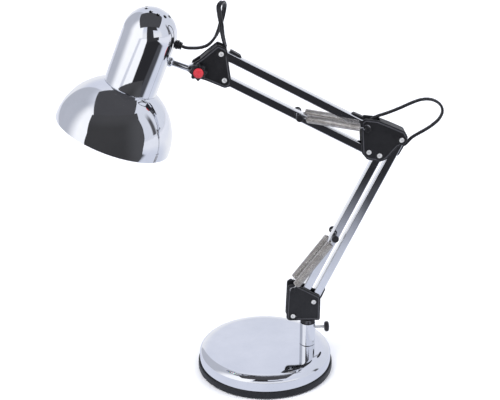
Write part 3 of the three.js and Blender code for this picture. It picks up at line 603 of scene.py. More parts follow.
# thread: real helical ridges on a rod along local Z
def threaded(r, depth, pitch, z0, z1, n=20, per=5, lead=0.0):
    count = max(3, int((z1 - z0) / pitch * per))
    v, f = [], []
    for i in range(count + 1):
        z = z0 + (z1 - z0) * i / count
        fade = min(1.0, (z - z0) / pitch + lead, (z1 - z) / pitch + lead)
        for j in range(n):
            a = 2 * pi * j / n
            q = r - depth * max(0.0, fade) * (0.5 + 0.5 * math.cos(2 * pi * z / pitch - a))
            v.append((q * math.cos(a), q * math.sin(a), z))
    for i in range(count):
        f += [(i * n + j, i * n + (j + 1) % n, (i + 1) * n + (j + 1) % n, (i + 1) * n + j) for j in range(n)]
    f += [tuple(range(n - 1, -1, -1)), tuple(count * n + j for j in range(n))]
    return np.array(v, float), f


ALONG_X = lambda x, y, z: At((x, y, z), (0, 1, 0), (1, 0, 0))
ob = as_object("thumb_screw_thread", moved(threaded(THUMB_R, 0.2, 0.8, POST_X + SPIGOT_R + 0.4, THUMB_KNOB_X + 3.0), ALONG_X(0, 0, THUMB_Z)))
piece(ob, "thumb_screw", ["thumb_screw"], STEEL, deg=60)

knob = turned_edge([(2.0, 0), (4.4, 0), (THUMB_KNOB_R - 0.3, 0.9), (THUMB_KNOB_R, 2.2), (THUMB_KNOB_R, 3.6), (THUMB_KNOB_R - 0.6, 4.8), (4.2, THUMB_KNOB_T), (3.4, THUMB_KNOB_T - 0.35), (0, THUMB_KNOB_T - 0.45)],
                   [0, 0.4, 0.6, 0.8, 0.8, 0.6, 0.4, 0.4, 0], 4)
knob = [(0, 3.1), (2.0, 3.1)] + knob
ob = as_object("thumb_knob", moved(lathe(knob, 96, mod=lambda a, r, z: 0.13 * math.cos(24 * a) * max(0.0, (r - 4.6) / 1.5)), ALONG_X(THUMB_KNOB_X, 0, THUMB_Z)))
piece(ob, "thumb_screw", ["thumb_screw_knob"], PIN_BLACK, deg=45)


# ------------------------------------------------------------------ brackets
def outline(shape, d=0.0, seg=6):
    pts, radii = shape
    if not d:
        return rounded(pts, radii, seg)
    return rounded(inset(pts, d), [max(r - d, 0.7) for r in radii], seg)


def turned_y(profile, x, z, n=48, mod=None, closed=False):
    """Profile of (r, y) turned about the Y axis through (x, z)."""
    v, f = lathe(profile, n, closed=closed, mod=mod)
    return v[:, [0, 2, 1]] + np.array([x, 0, z]), f


def bead(shape, d, y, r=0.62):
    P = [(x, y, z) for x, z in outline(shape, d, 5)]
    return bead_along(resample(np.array(P, float), 1.1, True), r)


def bead_along(P, r, n=8):
    """Closed ridge in a plane of constant y, so its frame never twists."""
    T = tangents(P, True)
    side = np.cross(T, [0, 1, 0])
    side /= np.linalg.norm(side, axis=1)[:, None]
    v = []
    for p, w in zip(P, side):
        for i in range(n):
            a = 2 * pi * i / n
            v.append(p + w * r * 1.15 * math.cos(a) + np.array([0, 1.0, 0]) * r * math.sin(a))
    m = len(P)
    f = [(i * n + q, i * n + (q + 1) % n, ((i + 1) % m) * n + (q + 1) % n, ((i + 1) % m) * n + q) for i in range(m) for q in range(n)]
    return np.array(v), f


def stud(x, z, side, r):
    y = lambda v: side * v
    prof = [(0, CHEEK_OUT - 0.6), (r + 0.5, CHEEK_OUT - 0.6), (r + 0.4, CHEEK_OUT + 0.05), (r - 0.3, CHEEK_OUT + 0.5), (r - 0.7, CHEEK_OUT + 1.3), (r - 0.7, 11.6), (r - 0.4, 12.0), (r - 0.15, 12.15), (r, 12.5),
            (r, 13.6), (r - 0.15, 13.95), (r - 0.5, 14.2), (r * 0.52, 14.2), (r * 0.45, 13.85), (0, 13.7)]
    return turned_y([(a, y(b)) for a, b in prof], x, z, 40)


def collar(x, z, side, r0=3.45, r1=5.0, h=0.38):
    p = [(r0, CHEEK_OUT - 0.5), (r1 + 0.15, CHEEK_OUT - 0.5), (r1, CHEEK_OUT + 0.1), (r1 - 0.35, CHEEK_OUT + h), (r0 + 0.35, CHEEK_OUT + h), (r0, CHEEK_OUT + h - 0.25)]
    return turned_y([(a, side * b) for a, b in p], x, z, 48, closed=True)


def cheek(name, shape, side, screws, body, nodes, adds=(), cuts=(), bead_in=2.1, floor=()):
    y0, y1 = (-CHEEK_OUT, -CHEEK_IN) if side < 0 else (CHEEK_IN, CHEEK_OUT)
    ob = as_object(name, prism(outline(shape), y0, y1))
    bevelled(ob, 0.55, 3, 50)
    more = [bead(shape, bead_in, side * CHEEK_OUT)]
    if side < 0:
        more += [collar(x, z, side) for x, z in screws]
    else:
        more += [turned_y(turned_edge([(0, 7.2), (3.9, 7.2), (3.6, CHEEK_OUT + 1.6), (0, CHEEK_OUT + 1.6)], [0, 0, 0.5, 0], 3), x, z, 40) for x, z in screws]
    combine(ob, "UNION", more + list(adds))
    holes = []
    for x, z in screws:
        if side < 0:
            holes += [rod((x, z), "y", BORE_R, -12, -CHEEK_OUT + BORE_DEPTH, 48), rod((x, z), "y", SCREW_R + 0.3, -12, -2, 24)]
        else:
            holes += [rod((x, z), "y", SCREW_R + 0.3, 2, CHEEK_OUT + 0.6, 24)]
    combine(ob, "DIFFERENCE", holes + list(cuts))
    # faces of the ridge bead take the lighter black, a painted highlight; the rest of the cheek takes the plain black
    return piece(ob, body, nodes, [BLACK, BLACK_RIDGE_PAINTED_HIGHLIGHT], deg=36, pick=lambda c: 1 if CHEEK_OUT + 0.12 < abs(c[1]) < CHEEK_OUT + 0.75 and all(math.hypot(c[0] - x, c[2] - z) > 5.4 for x, z in screws) else 0)


# base bracket
inner_block = prism(rounded([(44.6, 62.6), (64.0, 62.3), (64.1, 76.0), (62.3, 76.0), (61.0, 73.4), (44.6, 73.4)], 0.5, 2), -CHEEK_IN + 0.3, CHEEK_IN + 0.5)
sp = [(3.0, 33.0), (SPIGOT_R - 0.6, 33.0), (SPIGOT_R, 33.6), (SPIGOT_R, POST_TOP + 0.25), (COLLAR_R - 0.3, POST_TOP + 0.3), (COLLAR_R, POST_TOP + 0.6), (COLLAR_R, 60.9), (COLLAR_R - 0.5, 61.8), (4.8, 61.8), (4.8, 66), (3.0, 66)]
spigot = (lathe(sp, 64, closed=True)[0] + np.array([POST_X, 0, 0]), lathe(sp, 64, closed=True)[1])
cheek("bracket_base_rear", BASE_BRACKET, 1, [P1, P2], "swivel_bracket", ["base_bracket_rear"], adds=[inner_block, spigot, stud(*ANCHOR, 1, STUD_R)],
      cuts=[rod((POST_X, 0), "z", 3.0, 20, 90, 28)])
cheek("bracket_base_front", BASE_BRACKET, -1, [P1, P2], "swivel_bracket", ["base_bracket_front"], adds=[stud(*ANCHOR, -1, STUD_R)])
# elbow bracket
strip_e = prism(rounded([(127.0, 310.6), (139.3, 305.0), (154.0, 298.0), (157.0, 293.6), (155.2, 292.8), (152.8, 296.2), (138.5, 303.0), (126.4, 308.6)], 0.6, 2), -CHEEK_IN + 0.3, CHEEK_IN + 0.5)
cheek("bracket_elbow_rear", ELBOW, 1, [E1, E2, E3], "elbow", ["elbow_bracket_rear"], adds=[strip_e, stud(*E4, 1, 3.5)],
      cuts=[rod(E4, "y", SCREW_R + 0.3, 2, CHEEK_OUT + 1.5, 24)])
cheek("bracket_elbow_front", ELBOW, -1, [E1, E2, E3], "elbow", ["elbow_bracket_front"], adds=[stud(*E4, -1, 3.5)],
      cuts=[rod(E4, "y", SCREW_R + 0.3, -CHEEK_OUT - 1.5, -2, 24)])
# head bracket
strip_h = prism(rounded([(-54.4, 401.0), (-72.4, 386.0), (-71.2, 384.4), (-53.6, 399.2)], 0.4, 2), -CHEEK_IN + 0.3, CHEEK_IN + 0.5)
cheek("bracket_head_rear", HEAD_BRACKET, 1, [H3, H4], "head_bracket", ["head_bracket_rear"], adds=[strip_h], cuts=[rod(KNOB, "y", 2.7, 2, 12, 28)])
cheek("bracket_head_front", HEAD_BRACKET, -1, [H3, H4], "head_bracket", ["head_bracket_front"], cuts=[rod(KNOB, "y", 2.7, -12, -2, 28)])

# ------------------------------------------------------------------ screws
AT_Y = lambda x, z, turn=0.0: At((x, 0, z), (math.cos(turn), 0, math.sin(turn)), (0, -1, 0))


def screw(name, x, z, body, node, turn):
    """Cross-head screw, its head towards -Y."""
    top = CHEEK_OUT + 0.3
    prof = turned_edge([(0, -CHEEK_OUT - 0.3), (SCREW_R - 0.5, -CHEEK_OUT - 0.3), (SCREW_R, -CHEEK_OUT + 0.4), (SCREW_R, CHEEK_OUT - BORE_DEPTH + 0.3), (HEAD_R - 0.1, CHEEK_OUT - BORE_DEPTH + 0.3), (HEAD_R, top - 0.85), (HEAD_R - 0.35, top - 0.3)],
                       [0, 0, 0, 0, 0.2, 0.3, 0], 2) + [(2.1, top - 0.08), (1.1, top), (0, top)]
    ob = as_object(name, moved(lathe(prof, 40), AT_Y(x, z, turn)))
    cross = []
    for k in (0, 1):
        a, b = 0.34, 1.75
        pts = [(-b, a, top + 0.4), (b, a, top + 0.4), (b, -a, top + 0.4), (-b, -a, top + 0.4), (-b * 0.62, a * 0.8, top - 0.95), (b * 0.62, a * 0.8, top - 0.95), (b * 0.62, -a * 0.8, top - 0.95), (-b * 0.62, -a * 0.8, top - 0.95)]
        v = np.array(pts, float)
        if k:
            v = v[:, [1, 0, 2]]
        cross.append(moved((v, [(0, 1, 2, 3), (7, 6, 5, 4), (0, 4, 5, 1), (1, 5, 6, 2), (2, 6, 7, 3), (3, 7, 4, 0)]), AT_Y(x, z, turn)))
    combine(ob, "DIFFERENCE", cross)
    return piece(ob, body, [node], SCREW)


for i, (name, p, body, node) in enumerate([
    ("cross_screw_base_left", P1, "swivel_bracket", "screw_base_left"), ("cross_screw_base_right", P2, "swivel_bracket", "screw_base_right"),
    ("cross_screw_elbow_lower_left", E1, "elbow", "screw_elbow_lower_left"), ("cross_screw_elbow_lower_right", E2, "elbow", "screw_elbow_lower_right"),
    ("cross_screw_elbow_upper_left", E3, "elbow", "screw_elbow_upper_left"),
    ("cross_screw_head_lower", H3, "head_bracket", "screw_head_lower"), ("cross_screw_head_upper", H4, "head_bracket", "screw_head_upper")]):
    screw(name, p[0], p[1], body, node, 0.4 + 0.77 * i)

pin = [(0, -CHEEK_OUT - 1.2), (SCREW_R - 0.3, -CHEEK_OUT - 1.2), (SCREW_R, -CHEEK_OUT - 0.9), (SCREW_R, CHEEK_OUT + 0.9), (SCREW_R - 0.3, CHEEK_OUT + 1.2), (0, CHEEK_OUT + 1.2)]
piece(as_object("elbow_pivot_pin", turned_y(pin, E4[0], E4[1], 32)), "elbow", ["elbow_hinge_pin"], STEEL)

# head clamp bolt: hexagon head at the back with a chamfer, thread to the front
hexagon = [(KNOB[0] + 4.6 * math.cos(i * pi / 3), KNOB[1] + 4.6 * math.sin(i * pi / 3)) for i in range(6)]
ob = as_object("clamp_bolt", prism(hexagon, CHEEK_OUT + 0.3, CHEEK_OUT + 3.4))
bevelled(ob, 0.35, 2, 30)
combine(ob, "UNION", [moved(threaded(2.4, 0.2, 0.9, -CHEEK_OUT - 1, 14.6, 28), AT_Y(*KNOB))])
piece(ob, "head_bracket", ["head_clamp_bolt"], STEEL, deg=50)


# ------------------------------------------------------------------ star knob
def ring_stack(rings, n):
    """Closed solid through rings of n points, ended by fans."""
    v, f = [], []
    for r in rings:
        v += list(r)
    for i in range(len(rings) - 1):
        f += [(i * n + j, i * n + (j + 1) % n, (i + 1) * n + (j + 1) % n, (i + 1) * n + j) for j in range(n)]
    a = len(v)
    v.append(np.mean(rings[0], 0))
    v.append(np.mean(rings[-1], 0))
    f += [(a, (j + 1) % n, j) for j in range(n)]
    k = (len(rings) - 1) * n
    f += [(a + 1, k + j, k + (j + 1) % n) for j in range(n)]
    return np.array(v, float), f


def star_ring(y, r, lobe, n=160, flat=0.25):
    out = []
    for i in range(n):
        a = 2 * pi * i / n
        w = math.cos(8 * a + 0.35)
        w = (abs(w) ** 0.7) * (1 if w > 0 else -1)
        q = r + lobe * w
        out.append((KNOB[0] + q * math.cos(a), y, KNOB[1] + q * math.sin(a)))
    return np.array(out)


rings = [star_ring(-8.15, 4.8, 0), star_ring(-8.15, 5.1, 0), star_ring(-9.3, 5.3, 0.0), star_ring(-9.45, 7.6, 0.75), star_ring(-9.6, 8.3, 0.9), star_ring(-10.0, 8.75, 0.98), star_ring(-10.6, 8.88, 1.0),
         star_ring(-14.0, 8.84, 1.0), star_ring(-14.8, 8.7, 0.97), star_ring(-15.3, 8.3, 0.85), star_ring(-15.6, 7.75, 0.6), star_ring(-15.75, 7.3, 0.25), star_ring(-15.9, 7.0, 0.0),
         star_ring(-16.9, 6.85, 0), star_ring(-17.25, 6.6, 0), star_ring(-17.4, 6.3, 0), star_ring(-17.3, 6.02, 0), star_ring(-16.4, 5.9, 0), star_ring(-16.3, 5.7, 0), star_ring(-16.25, 2.0, 0)]
ob = as_object("star_knob_body", ring_stack(rings, 160))
piece(ob, "head_knob", ["star_knob"], PIN_BLACK, deg=40)
cap = turned_edge([(0, -16.5), (5.55, -16.5), (5.55, -18.2), (5.1, -18.95), (3.6, -19.6), (1.8, -19.92), (0, -20.0)], [0, 0.1, 0.5, 0.8, 1.5, 2, 0], 4)
piece(as_object("knob_cap_red", turned_y(cap, *KNOB, 64)), "head_knob", ["star_knob_cap"], RED, deg=45)


# ------------------------------------------------------------------ arm tubes
def square(hy, hz, r=0.95, seg=4, keep=0.4):
    """Rounded square section in (y, z) with extra points that keep the flats flat."""
    out = []
    for k, (sy, sz) in enumerate(((1, 1), (-1, 1), (-1, -1), (1, -1))):
        cy, cz = sy * (hy - r), sz * (hz - r)
        a0 = k * 90
        ring_ = [(cy + r * math.cos(math.radians(a0 + 90 * i / seg)), cz + r * math.sin(math.radians(a0 + 90 * i / seg))) for i in range(seg + 1)]
        first, last = ring_[0], ring_[-1]
        t0 = (math.cos(math.radians(a0 - 90)), math.sin(math.radians(a0 - 90)))
        t1 = (math.cos(math.radians(a0 + 180)), math.sin(math.radians(a0 + 180)))
        out += [(first[0] + t0[0] * keep, first[1] + t0[1] * keep)] + ring_ + [(last[0] + t1[0] * keep, last[1] + t1[1] * keep)]
    return out


def arm(name, p, vec, body, nodes, holes=(), slots=()):
    L, h, at = math.hypot(*vec), TUBE / 2, bar_at(p, vec)
    S = square(h, h)
    m = len(S)
    stations = [(-h * math.sin(t), math.cos(t)) for t in np.radians([84, 72, 60, 48, 36, 24, 12])] + [(0, 1), (0.6, 1), (L - 0.6, 1), (L, 1)] \
        + [(L + h * math.sin(t), math.cos(t)) for t in np.radians([12, 24, 36, 48, 60, 72, 84])]
    v = [(x, y, z * k) for x, k in stations for y, z in S]
    f = []
    for i in range(len(stations) - 1):
        f += [(i * m + q, i * m + (q + 1) % m, (i + 1) * m + (q + 1) % m, (i + 1) * m + q) for q in range(m)]
    f += [tuple(range(m - 1, -1, -1)), tuple((len(stations) - 1) * m + q for q in range(m))]
    ob = as_object(name, moved((np.array(v, float), f), at))
    i_ = h - TUBE_WALL
    Si = square(i_, i_, 0.5, 3, 0.2)
    mi = len(Si)
    vi = [(x, y, z) for x in (-20.0, L + 20.0) for y, z in Si]
    fi = [(q, (q + 1) % mi, mi + (q + 1) % mi, mi + q) for q in range(mi)] + [tuple(range(mi - 1, -1, -1)), tuple(mi + q for q in range(mi))]
    cuts = [moved((np.array(vi, float), fi), at)]
    for x in (0, L):
        cuts.append(moved((rod((x, 0), "y", PIVOT_HOLE, -20, 20, 28)), at))
    for x, z in holes:
        cuts.append(moved((rod((x, z), "y", PIN_R + 0.3, -20, 20, 28)), at))
    for a, b, side in slots:
        z0, z1 = (2, 8) if side > 0 else (-8, -2)
        v, f = block(a, b, -2.6, 2.6, z0, z1)
        cuts.append(moved((v, f), at))
    combine(ob, "DIFFERENCE", cuts)
    return piece(ob, body, nodes, BAR_CHROME, deg=30)


arm("tube_lower_left", P1, LOWER, "lower_left_bar", ["lower_bar_left"], [(LL * L_AT, L_OFF)])
arm("tube_lower_right", P2, LOWER, "lower_right_bar", ["lower_bar_right"], [], [(9.5, 16.1, -1), (LL - 16.1, LL - 9.5, -1)])
arm("tube_upper_bottom", E3, UPPER, "upper_bottom_bar", ["upper_bar_bottom"], [(UL * K_AT, -K_OFF)])
arm("tube_upper_top", E4, UPPER, "upper_top_bar", ["upper_bar_top"], [], [(11.5, 18.1, -1), (UL - 18.1, UL - 11.5, -1)])


def guide(name, at, x0, x1, body, node, thick=1.9):
    """Moulded cord guide: tongue on the -Z face of the tube with a rounded end, and a plug into the tube."""
    h = TUBE / 2
    side = [(x0, h + 0.3), (x1, h + 0.3), (x1, h + 0.9), (x1 - 2.2, h + thick), (x0 + 1.5, h + thick + 0.5), (x0, h + thick + 0.1)]
    v, f = prism([(x, -z) for x, z in rounded(side, [0.2, 0.2, 0.3, 1.2, 1.2, 0.3], 3)], -3.6, 3.6)
    ob = as_object(name, moved((v, f), at))
    ends = []                          # the free end is round in plan
    for sgn in (-1, 1):
        pts = [(x1 + 1, sgn * 5.0)] + [(x1 - 3.2 + 3.2 * math.sin(t), sgn * (0.4 + 3.2 * math.cos(t))) for t in np.linspace(pi / 2, 0, 8)] + [(x1 - 3.2, sgn * 5.0)]
        n = len(pts)
        vv = np.array([(x, y, -h - 6) for x, y in pts] + [(x, y, -h - 0.05) for x, y in pts], float)
        ff = [tuple(range(n)), tuple(range(2 * n - 1, n - 1, -1))] + [(i, (i + 1) % n, n + (i + 1) % n, n + i) for i in range(n)]
        ends.append(moved((vv, ff), at))
    combine(ob, "DIFFERENCE", ends)
    bevelled(ob, 0.4, 2, 40)
    neck = moved(block(x0 + 4, x0 + 9, -2.2, 2.2, -h - 0.8, -h + 3.0), at)
    combine(ob, "UNION", [neck])
    return piece(ob, body, [node], BLACK, deg=40)


def guide_far(name, p, vec, x0, x1, body, node, thick=1.9):
    q = (p[0] + vec[0], p[1] + vec[1])
    at = At((q[0], 0, q[1]), (-vec[0], 0, -vec[1]), (-vec[1], 0, vec[0]))
    return guide(name, at, x0, x1, body, node, thick)


guide("guide_base", bar_at(P2, LOWER), 6.2, 20.5, "lower_right_bar", "cord_guide_base", 1.6)
guide_far("guide_elbow_lower", P2, LOWER, 6.2, 20.5, "lower_right_bar", "cord_guide_elbow_lower", 1.6)
guide("guide_elbow_upper", bar_at(E4, UPPER), 8.2, 22.0, "upper_top_bar", "cord_guide_elbow_upper", 2.3)
guide_far("guide_head", E4, UPPER, 8.2, 22.5, "upper_top_bar", "cord_guide_head", 2.4)


# ------------------------------------------------------------------ spring pins
def spring_pin(stem_name, cap_name, x, z, body, node):
    r, R = PIN_R, PIN_CAP_R
    rear = turned_edge([(0, -PIN_END + 1.4), (r - 0.3, -PIN_END + 1.4), (r, -PIN_END + 1.8), (r, 12.2), (R - 0.2, 12.2), (R, 12.8), (R - 0.1, 14.2), (R - 0.9, PIN_END), (0, PIN_END)], [0, 0.2, 0.1, 0.2, 0.3, 0.3, 0.8, 0.9, 0], 4)
    piece(as_object(stem_name, turned_y(rear, x, z, 48)), body, [node], PIN_BLACK, deg=40)
    front = turned_edge([(0, -PIN_END + 1.1), (r + 0.3, -PIN_END + 1.1), (r + 0.3, -12.2), (R - 0.2, -12.2), (R, -12.8), (R - 0.1, -14.2), (R - 0.9, -PIN_END), (1.2, -PIN_END), (0.9, -PIN_END + 0.3), (0, -PIN_END + 0.35)],
                        [0, 0, 0.1, 0.2, 0.3, 0.8, 0.9, 0.3, 0.2, 0], 4)
    piece(as_object(cap_name, turned_y(front, x, z, 48)), body, [node + "_cap"], PIN_BLACK, deg=40)


spring_pin("pin_lower_springs", "pin_cap_lower_springs", L_PIN[0], L_PIN[1], "lower_left_bar", "lower_spring_pin")
spring_pin("pin_upper_springs", "pin_cap_upper_springs", K_PIN[0], K_PIN[1], "upper_bottom_bar", "upper_spring_pin")


# ------------------------------------------------------------------ balance springs: wound wire with a hook at each end
def coil(name, a, b, y, ra, rb, ga, gb, node, blend_to, hand=1):
    ax, bx = np.array([a[0], a[1]]), np.array([b[0], b[1]])
    l = float(np.linalg.norm(bx - ax))
    w = SPRING_WIRE / 2
    R = SPRING_R - w
    at = At((a[0], y, a[1]), (bx[0] - ax[0], 0, bx[1] - ax[1]), (0, 1, 0))
    pts = []
    turns = int((l - gb - ga) / (SPRING_WIRE * 1.12))
    # the loop round the first pin: starts free, goes round the far side and comes back to the axis
    first = []
    r = ra + w + 0.06
    for i in range(17):
        t = math.radians(70 + 250 * i / 16)
        first.append((r * math.cos(t), r * math.sin(t), 0))
    first += [(r * 1.1, -r * 0.42, 0), (r * 1.1 + 0.9, -0.25, 0), (r * 1.1 + 2.0, 0, 0)]
    x_start = ga
    first += [(max(r * 1.1 + 2.6, x_start - 1.6), 0, 0)]
    pts += first
    steps = 16
    total = turns * steps
    pitch = (l - gb - ga) / turns
    for i in range(total + 1):
        t = 2 * pi * i / steps
        grow = min(1.0, (i + 1) / (steps * 0.6), (total - i + 1) / (steps * 0.6))
        grow = grow * grow * (3 - 2 * grow)
        rr = R * grow
        pts.append((x_start + pitch * i / steps, rr * math.sin(t) * hand, rr * math.cos(t)))
    r = rb + w + 0.06
    last = [(r * math.cos(t), r * math.sin(t), 0) for t in [math.radians(70 + 250 * i / 16) for i in range(17)]]
    last += [(r * 1.1, -r * 0.42, 0), (r * 1.1 + 0.9, -0.25, 0), (r * 1.1 + 2.0, 0, 0), (max(r * 1.1 + 2.6, gb - 1.6), 0, 0)]
    pts += [(l - x, -yy, zz) for x, yy, zz in last[::-1]]
    P = at(np.array(pts, float))
    # in this placement local Y runs in the arm plane and local Z across it
    ob = as_object(name, swept(P, circle(w, 7)))
    # coil turns take the nickel wire and the hooks take its lighter copy, a painted highlight
    return piece(ob, None, [node], [NICKEL, SPRING_HOOK_PAINTED_HIGHLIGHT], deg=70, blend=blend_to, pick=lambda c: 0 if ga - 0.6 < ((c - at.o) @ at.r)[0] < l - gb + 0.6 else 1)


for side, tag in ((-1, "front"), (1, "rear")):
    coil("wound_spring_lower_" + tag, ANCHOR, L_PIN, side * SPRING_Y, STUD_R - 0.7, PIN_R, 7.6, 9.0, "lower_spring_" + tag,
         ("swivel_bracket", "lower_left_bar", (ANCHOR[0] + 2, 0, ANCHOR[1] + 3), (L_PIN[0] - 2, 0, L_PIN[1] - 3)))
    coil("wound_spring_upper_" + tag, E4, K_PIN, side * SPRING_Y, 2.8, PIN_R, 8.6, 8.0, "upper_spring_" + tag,
         ("elbow", "upper_bottom_bar", (E4[0] - 3, 0, E4[1] + 0.5), (K_PIN[0] + 3, 0, K_PIN[1])))

# ------------------------------------------------------------------ head
NH = 160
aN, ri = math.degrees(math.acos(28.3 / BOWL_R)), BOWL_R - BOWL_T
top = BOWL_R * math.sin(math.radians(aN))
aI = math.degrees(math.acos(27.6 / ri))
outer = arc(0, 0, BOWL_R, 1.2, aN - 0.6, 44)
bowl = outer + [(28.0, top + 0.02), (27.2, top), (20.9, top), (20.6, top - 0.3), (20.6, top - BOWL_T)] + arc(0, 0, ri, aI, 1.2, 36)
bowl += [(ri - 0.25, 0.9), (ri - 0.3, 0.35), (ri, 0.02), (BOWL_R - 0.3, 0.0), (BOWL_R + 0.02, 0.35)]
ob = as_object("reflector_spun", moved(lathe(bowl, NH, closed=True), HEAD))


def inside_bowl(c):
    q = (c - HEAD.o) @ HEAD.r
    return 1 if (np.linalg.norm(q) < BOWL_R - BOWL_T * 0.6 and q[2] < top - 0.2) else 0


piece(ob, "head", ["reflector"], [CHROME, SATIN], pick=inside_bowl)

dome = arc(0, DOME_Z, CAP_R, 0, 90, 30)
cov = [(CAP_R - 0.15, CAP_BOTTOM), (CAP_R, CAP_BOTTOM + 0.25), (CAP_R, CAP_BOTTOM + 1.2), (CAP_R, DOME_Z - 0.8)] + dome[:-1] + [(0, DOME_Z + CAP_R)]
inn = [(CAP_R - CAP_T, CAP_BOTTOM), (CAP_R - CAP_T, DOME_Z)] + arc(0, DOME_Z, CAP_R - CAP_T, 0, 90, 16)[1:-1] + [(0, DOME_Z + CAP_R - CAP_T)]
ob = as_object("socket_cover_spun", moved(lathe(inn[::-1] + cov, NH), HEAD))
vents = [moved(rod((VENT_RING * math.cos((i + 0.5) / 10 * 2 * pi), VENT_RING * math.sin((i + 0.5) / 10 * 2 * pi)), "z", VENT_R, 140, 160, 24), HEAD) for i in range(10)]
combine(ob, "DIFFERENCE", vents + [moved(rod((0, STEM_Z), "x", STEM_R + 0.3, 20, 40, 32), HEAD), moved(rod((0, GLAND_Z), "x", 3.9, 20, 40, 32), HEAD)])
piece(ob, "head", ["socket_cover"], [CHROME, SATIN], pick=lambda c: (lambda q: 1 if (q[2] < DOME_Z and math.hypot(q[0], q[1]) < CAP_R - 0.5) or (q[2] >= DOME_Z and np.linalg.norm(q - np.array([0, 0, DOME_Z])) < CAP_R - 0.5) else 0)((c - HEAD.o) @ HEAD.r))

# lampholder with its skirt ring, and the lamp
holder = turned_edge([(4.0, 108), (9, 108), (15, 103), (19.6, 97), (19.6, 60.2), (20.1, 60.2), (20.1, 46), (14.2, 46), (14.2, 92), (4.0, 92)], [0, 0.6, 2.5, 2.5, 0.2, 0.2, 0.6, 0.5, 0.8, 0], 4)
piece(as_object("lampholder_body", moved(lathe(holder, 80, closed=True), HEAD)), "head", ["lampholder"], CERAMIC, deg=40)
sr = turned_edge([(20.4, 51.4), (25.4, 51.4), (25.4, 53.6), (24.0, 54.6), (24.0, top - 1.4), (25.0, top - BOWL_T - 0.3), (20.4, top - BOWL_T - 0.3)], [0, 0.5, 0.4, 0.5, 0.4, 0.2, 0], 3)
piece(as_object("skirt_ring", moved(lathe(sr, 96, closed=True, mod=lambda a, r, z: -0.25 * (0.5 + 0.5 * math.cos(36 * a)) if r > 25 and z < 54 else 0), HEAD)), "head", ["shade_ring"], CERAMIC, deg=40)
bo = [(22.6 * math.cos(a), 18 + 22.6 * math.sin(a)) for a in [-pi / 2 + 2.42 * i / 26 for i in range(27)]]
bi = [(21.4 * math.cos(a), 18 + 21.4 * math.sin(a)) for a in [-pi / 2 + 2.42 * i / 26 for i in range(27)]]
glass = [(0, -4.6)] + bo[1:] + [(14.2, 38.0), (13.5, 41.2), (13.4, 44.5), (12.2, 44.5), (12.2, 41.2), (12.9, 38.4)] + bi[1:][::-1] + [(0, -3.4)]
piece(as_object("lamp_globe", moved(lathe(glass, 80), HEAD)), "head", ["bulb_glass"], OPAL, deg=50)
cap_o = [(12.4, 44.9), (13.2, 44.9), (13.2, 47.0)]
screw_cap = [(12.95 + 0.28 * math.cos(2 * pi * (z - 47.5) / 3.6), z) for z in np.arange(47.5, 64.5, 0.45)]
cap_ = [(0, 44.9)] + cap_o[1:] + screw_cap + [(12.9, 65.6), (9, 71), (4.2, 72.2), (4, 72.6), (0, 72.6)]
piece(as_object("lamp_cap", moved(lathe(cap_, 64), HEAD)), "head", ["bulb_cap"], BRASS, deg=50)

# stem with its flattened eye
k = np.array([KNOB[0] - RIM[0], KNOB[1] - RIM[1]])
kx, kz = k[0] * c_ - k[1] * s_, k[0] * s_ + k[1] * c_
eye = rounded([(kx - 11.0, kz - 6.6), (kx + 3.0, kz - 7.0), (kx + 7.4, kz - 2.4), (kx + 7.4, kz + 3.4), (kx + 2.6, kz + 7.4), (kx - 4.0, kz + 6.8), (kx - 11.0, STEM_Z + STEM_R - 0.1)], [2, 4, 3.5, 3.5, 4, 4, 1], 6)
ob = as_object("stem", moved(prism(eye, -3.0, 3.0), HEAD))
bevelled(ob, 0.6, 3, 40)


def head_x(shape, z):
    return moved((At((0, 0, z), (0, 1, 0), (1, 0, 0))(shape[0]), shape[1]), HEAD)


rodp = [(0, 33.9), (STEM_R - 0.1, 33.9), (STEM_R, 34.3), (STEM_R, kx - 10.0), (STEM_R - 0.2, kx - 8.5), (0, kx - 8.5)]
combine(ob, "UNION", [head_x(lathe(rodp, 64), STEM_Z), head_x(threaded(STEM_R, 0.22, 0.9, 22.4, 34.4, 32), STEM_Z)])
combine(ob, "DIFFERENCE", [moved(rod((kx, kz), "y", 2.7, -9, 9, 32), HEAD), head_x(lathe([(0, 20), (1.5, 20), (1.5, 44), (0, 44)], 24), STEM_Z)])
piece(ob, "head", ["head_stem"], CHROME, deg=40)
bn = turned_edge([(STEM_R + 0.3, CAP_R + 0.4), (5.6, CAP_R + 0.4), (5.6, CAP_R + 2.2), (4.9, CAP_R + 3.6), (4.2, CAP_R + 4.0), (STEM_R + 0.3, CAP_R + 4.0)], [0, 0.3, 0.5, 0.7, 0.3, 0], 4)
piece(as_object("stem_boss", head_x(lathe(bn, 64, closed=True), STEM_Z)), "head", ["stem_boss_nut"], CHROME, deg=40)

# cord gland: ribbed collar and tapered tail
z0 = CAP_R
gl = [(2.5, z0 - 2.9), (3.3, z0 - 2.9), (3.5, z0 - 2.5), (3.5, z0 + 0.5), (5.0, z0 + 0.5), (5.3, z0 + 0.8), (5.3, z0 + 1.5), (4.7, z0 + 1.7), (4.7, z0 + 2.1), (5.25, z0 + 2.3), (5.25, z0 + 3.1), (4.9, z0 + 3.4),
      (3.7, z0 + 3.5), (3.7, z0 + 4.0), (4.4, z0 + 4.2), (4.4, z0 + 5.0), (3.6, z0 + 5.2), (3.6, z0 + 5.6), (4.25, z0 + 5.8), (4.2, z0 + 6.7), (3.9, z0 + 7.1), (2.3, z0 + 7.2)]
piece(as_object("gland_ribbed", head_x(lathe(gl, 56, closed=True, mod=lambda a, r, z: -0.28 * (0.5 + 0.5 * math.cos(10 * a)) if r > 4.9 else 0), GLAND_Z)), "head", ["cord_gland"], PIN_BLACK, deg=40)

# ------------------------------------------------------------------ CAD pieces that stay, mostly inside
KEEP = {"base_plate": STEEL, "base_weight": IRON, "base_bolt": STEEL, "post_flange_nut": STEEL, "stem_lock_nut": STEEL,
        "cord_run_upper_arm": FLEX, "cord_run_head": FLEX}
for n, m in KEEP.items():
    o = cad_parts[n]
    if not o.data.materials:
        o.data.materials.append(m)
    for s in range(len(o.material_slots)):
        o.material_slots[s].material = m
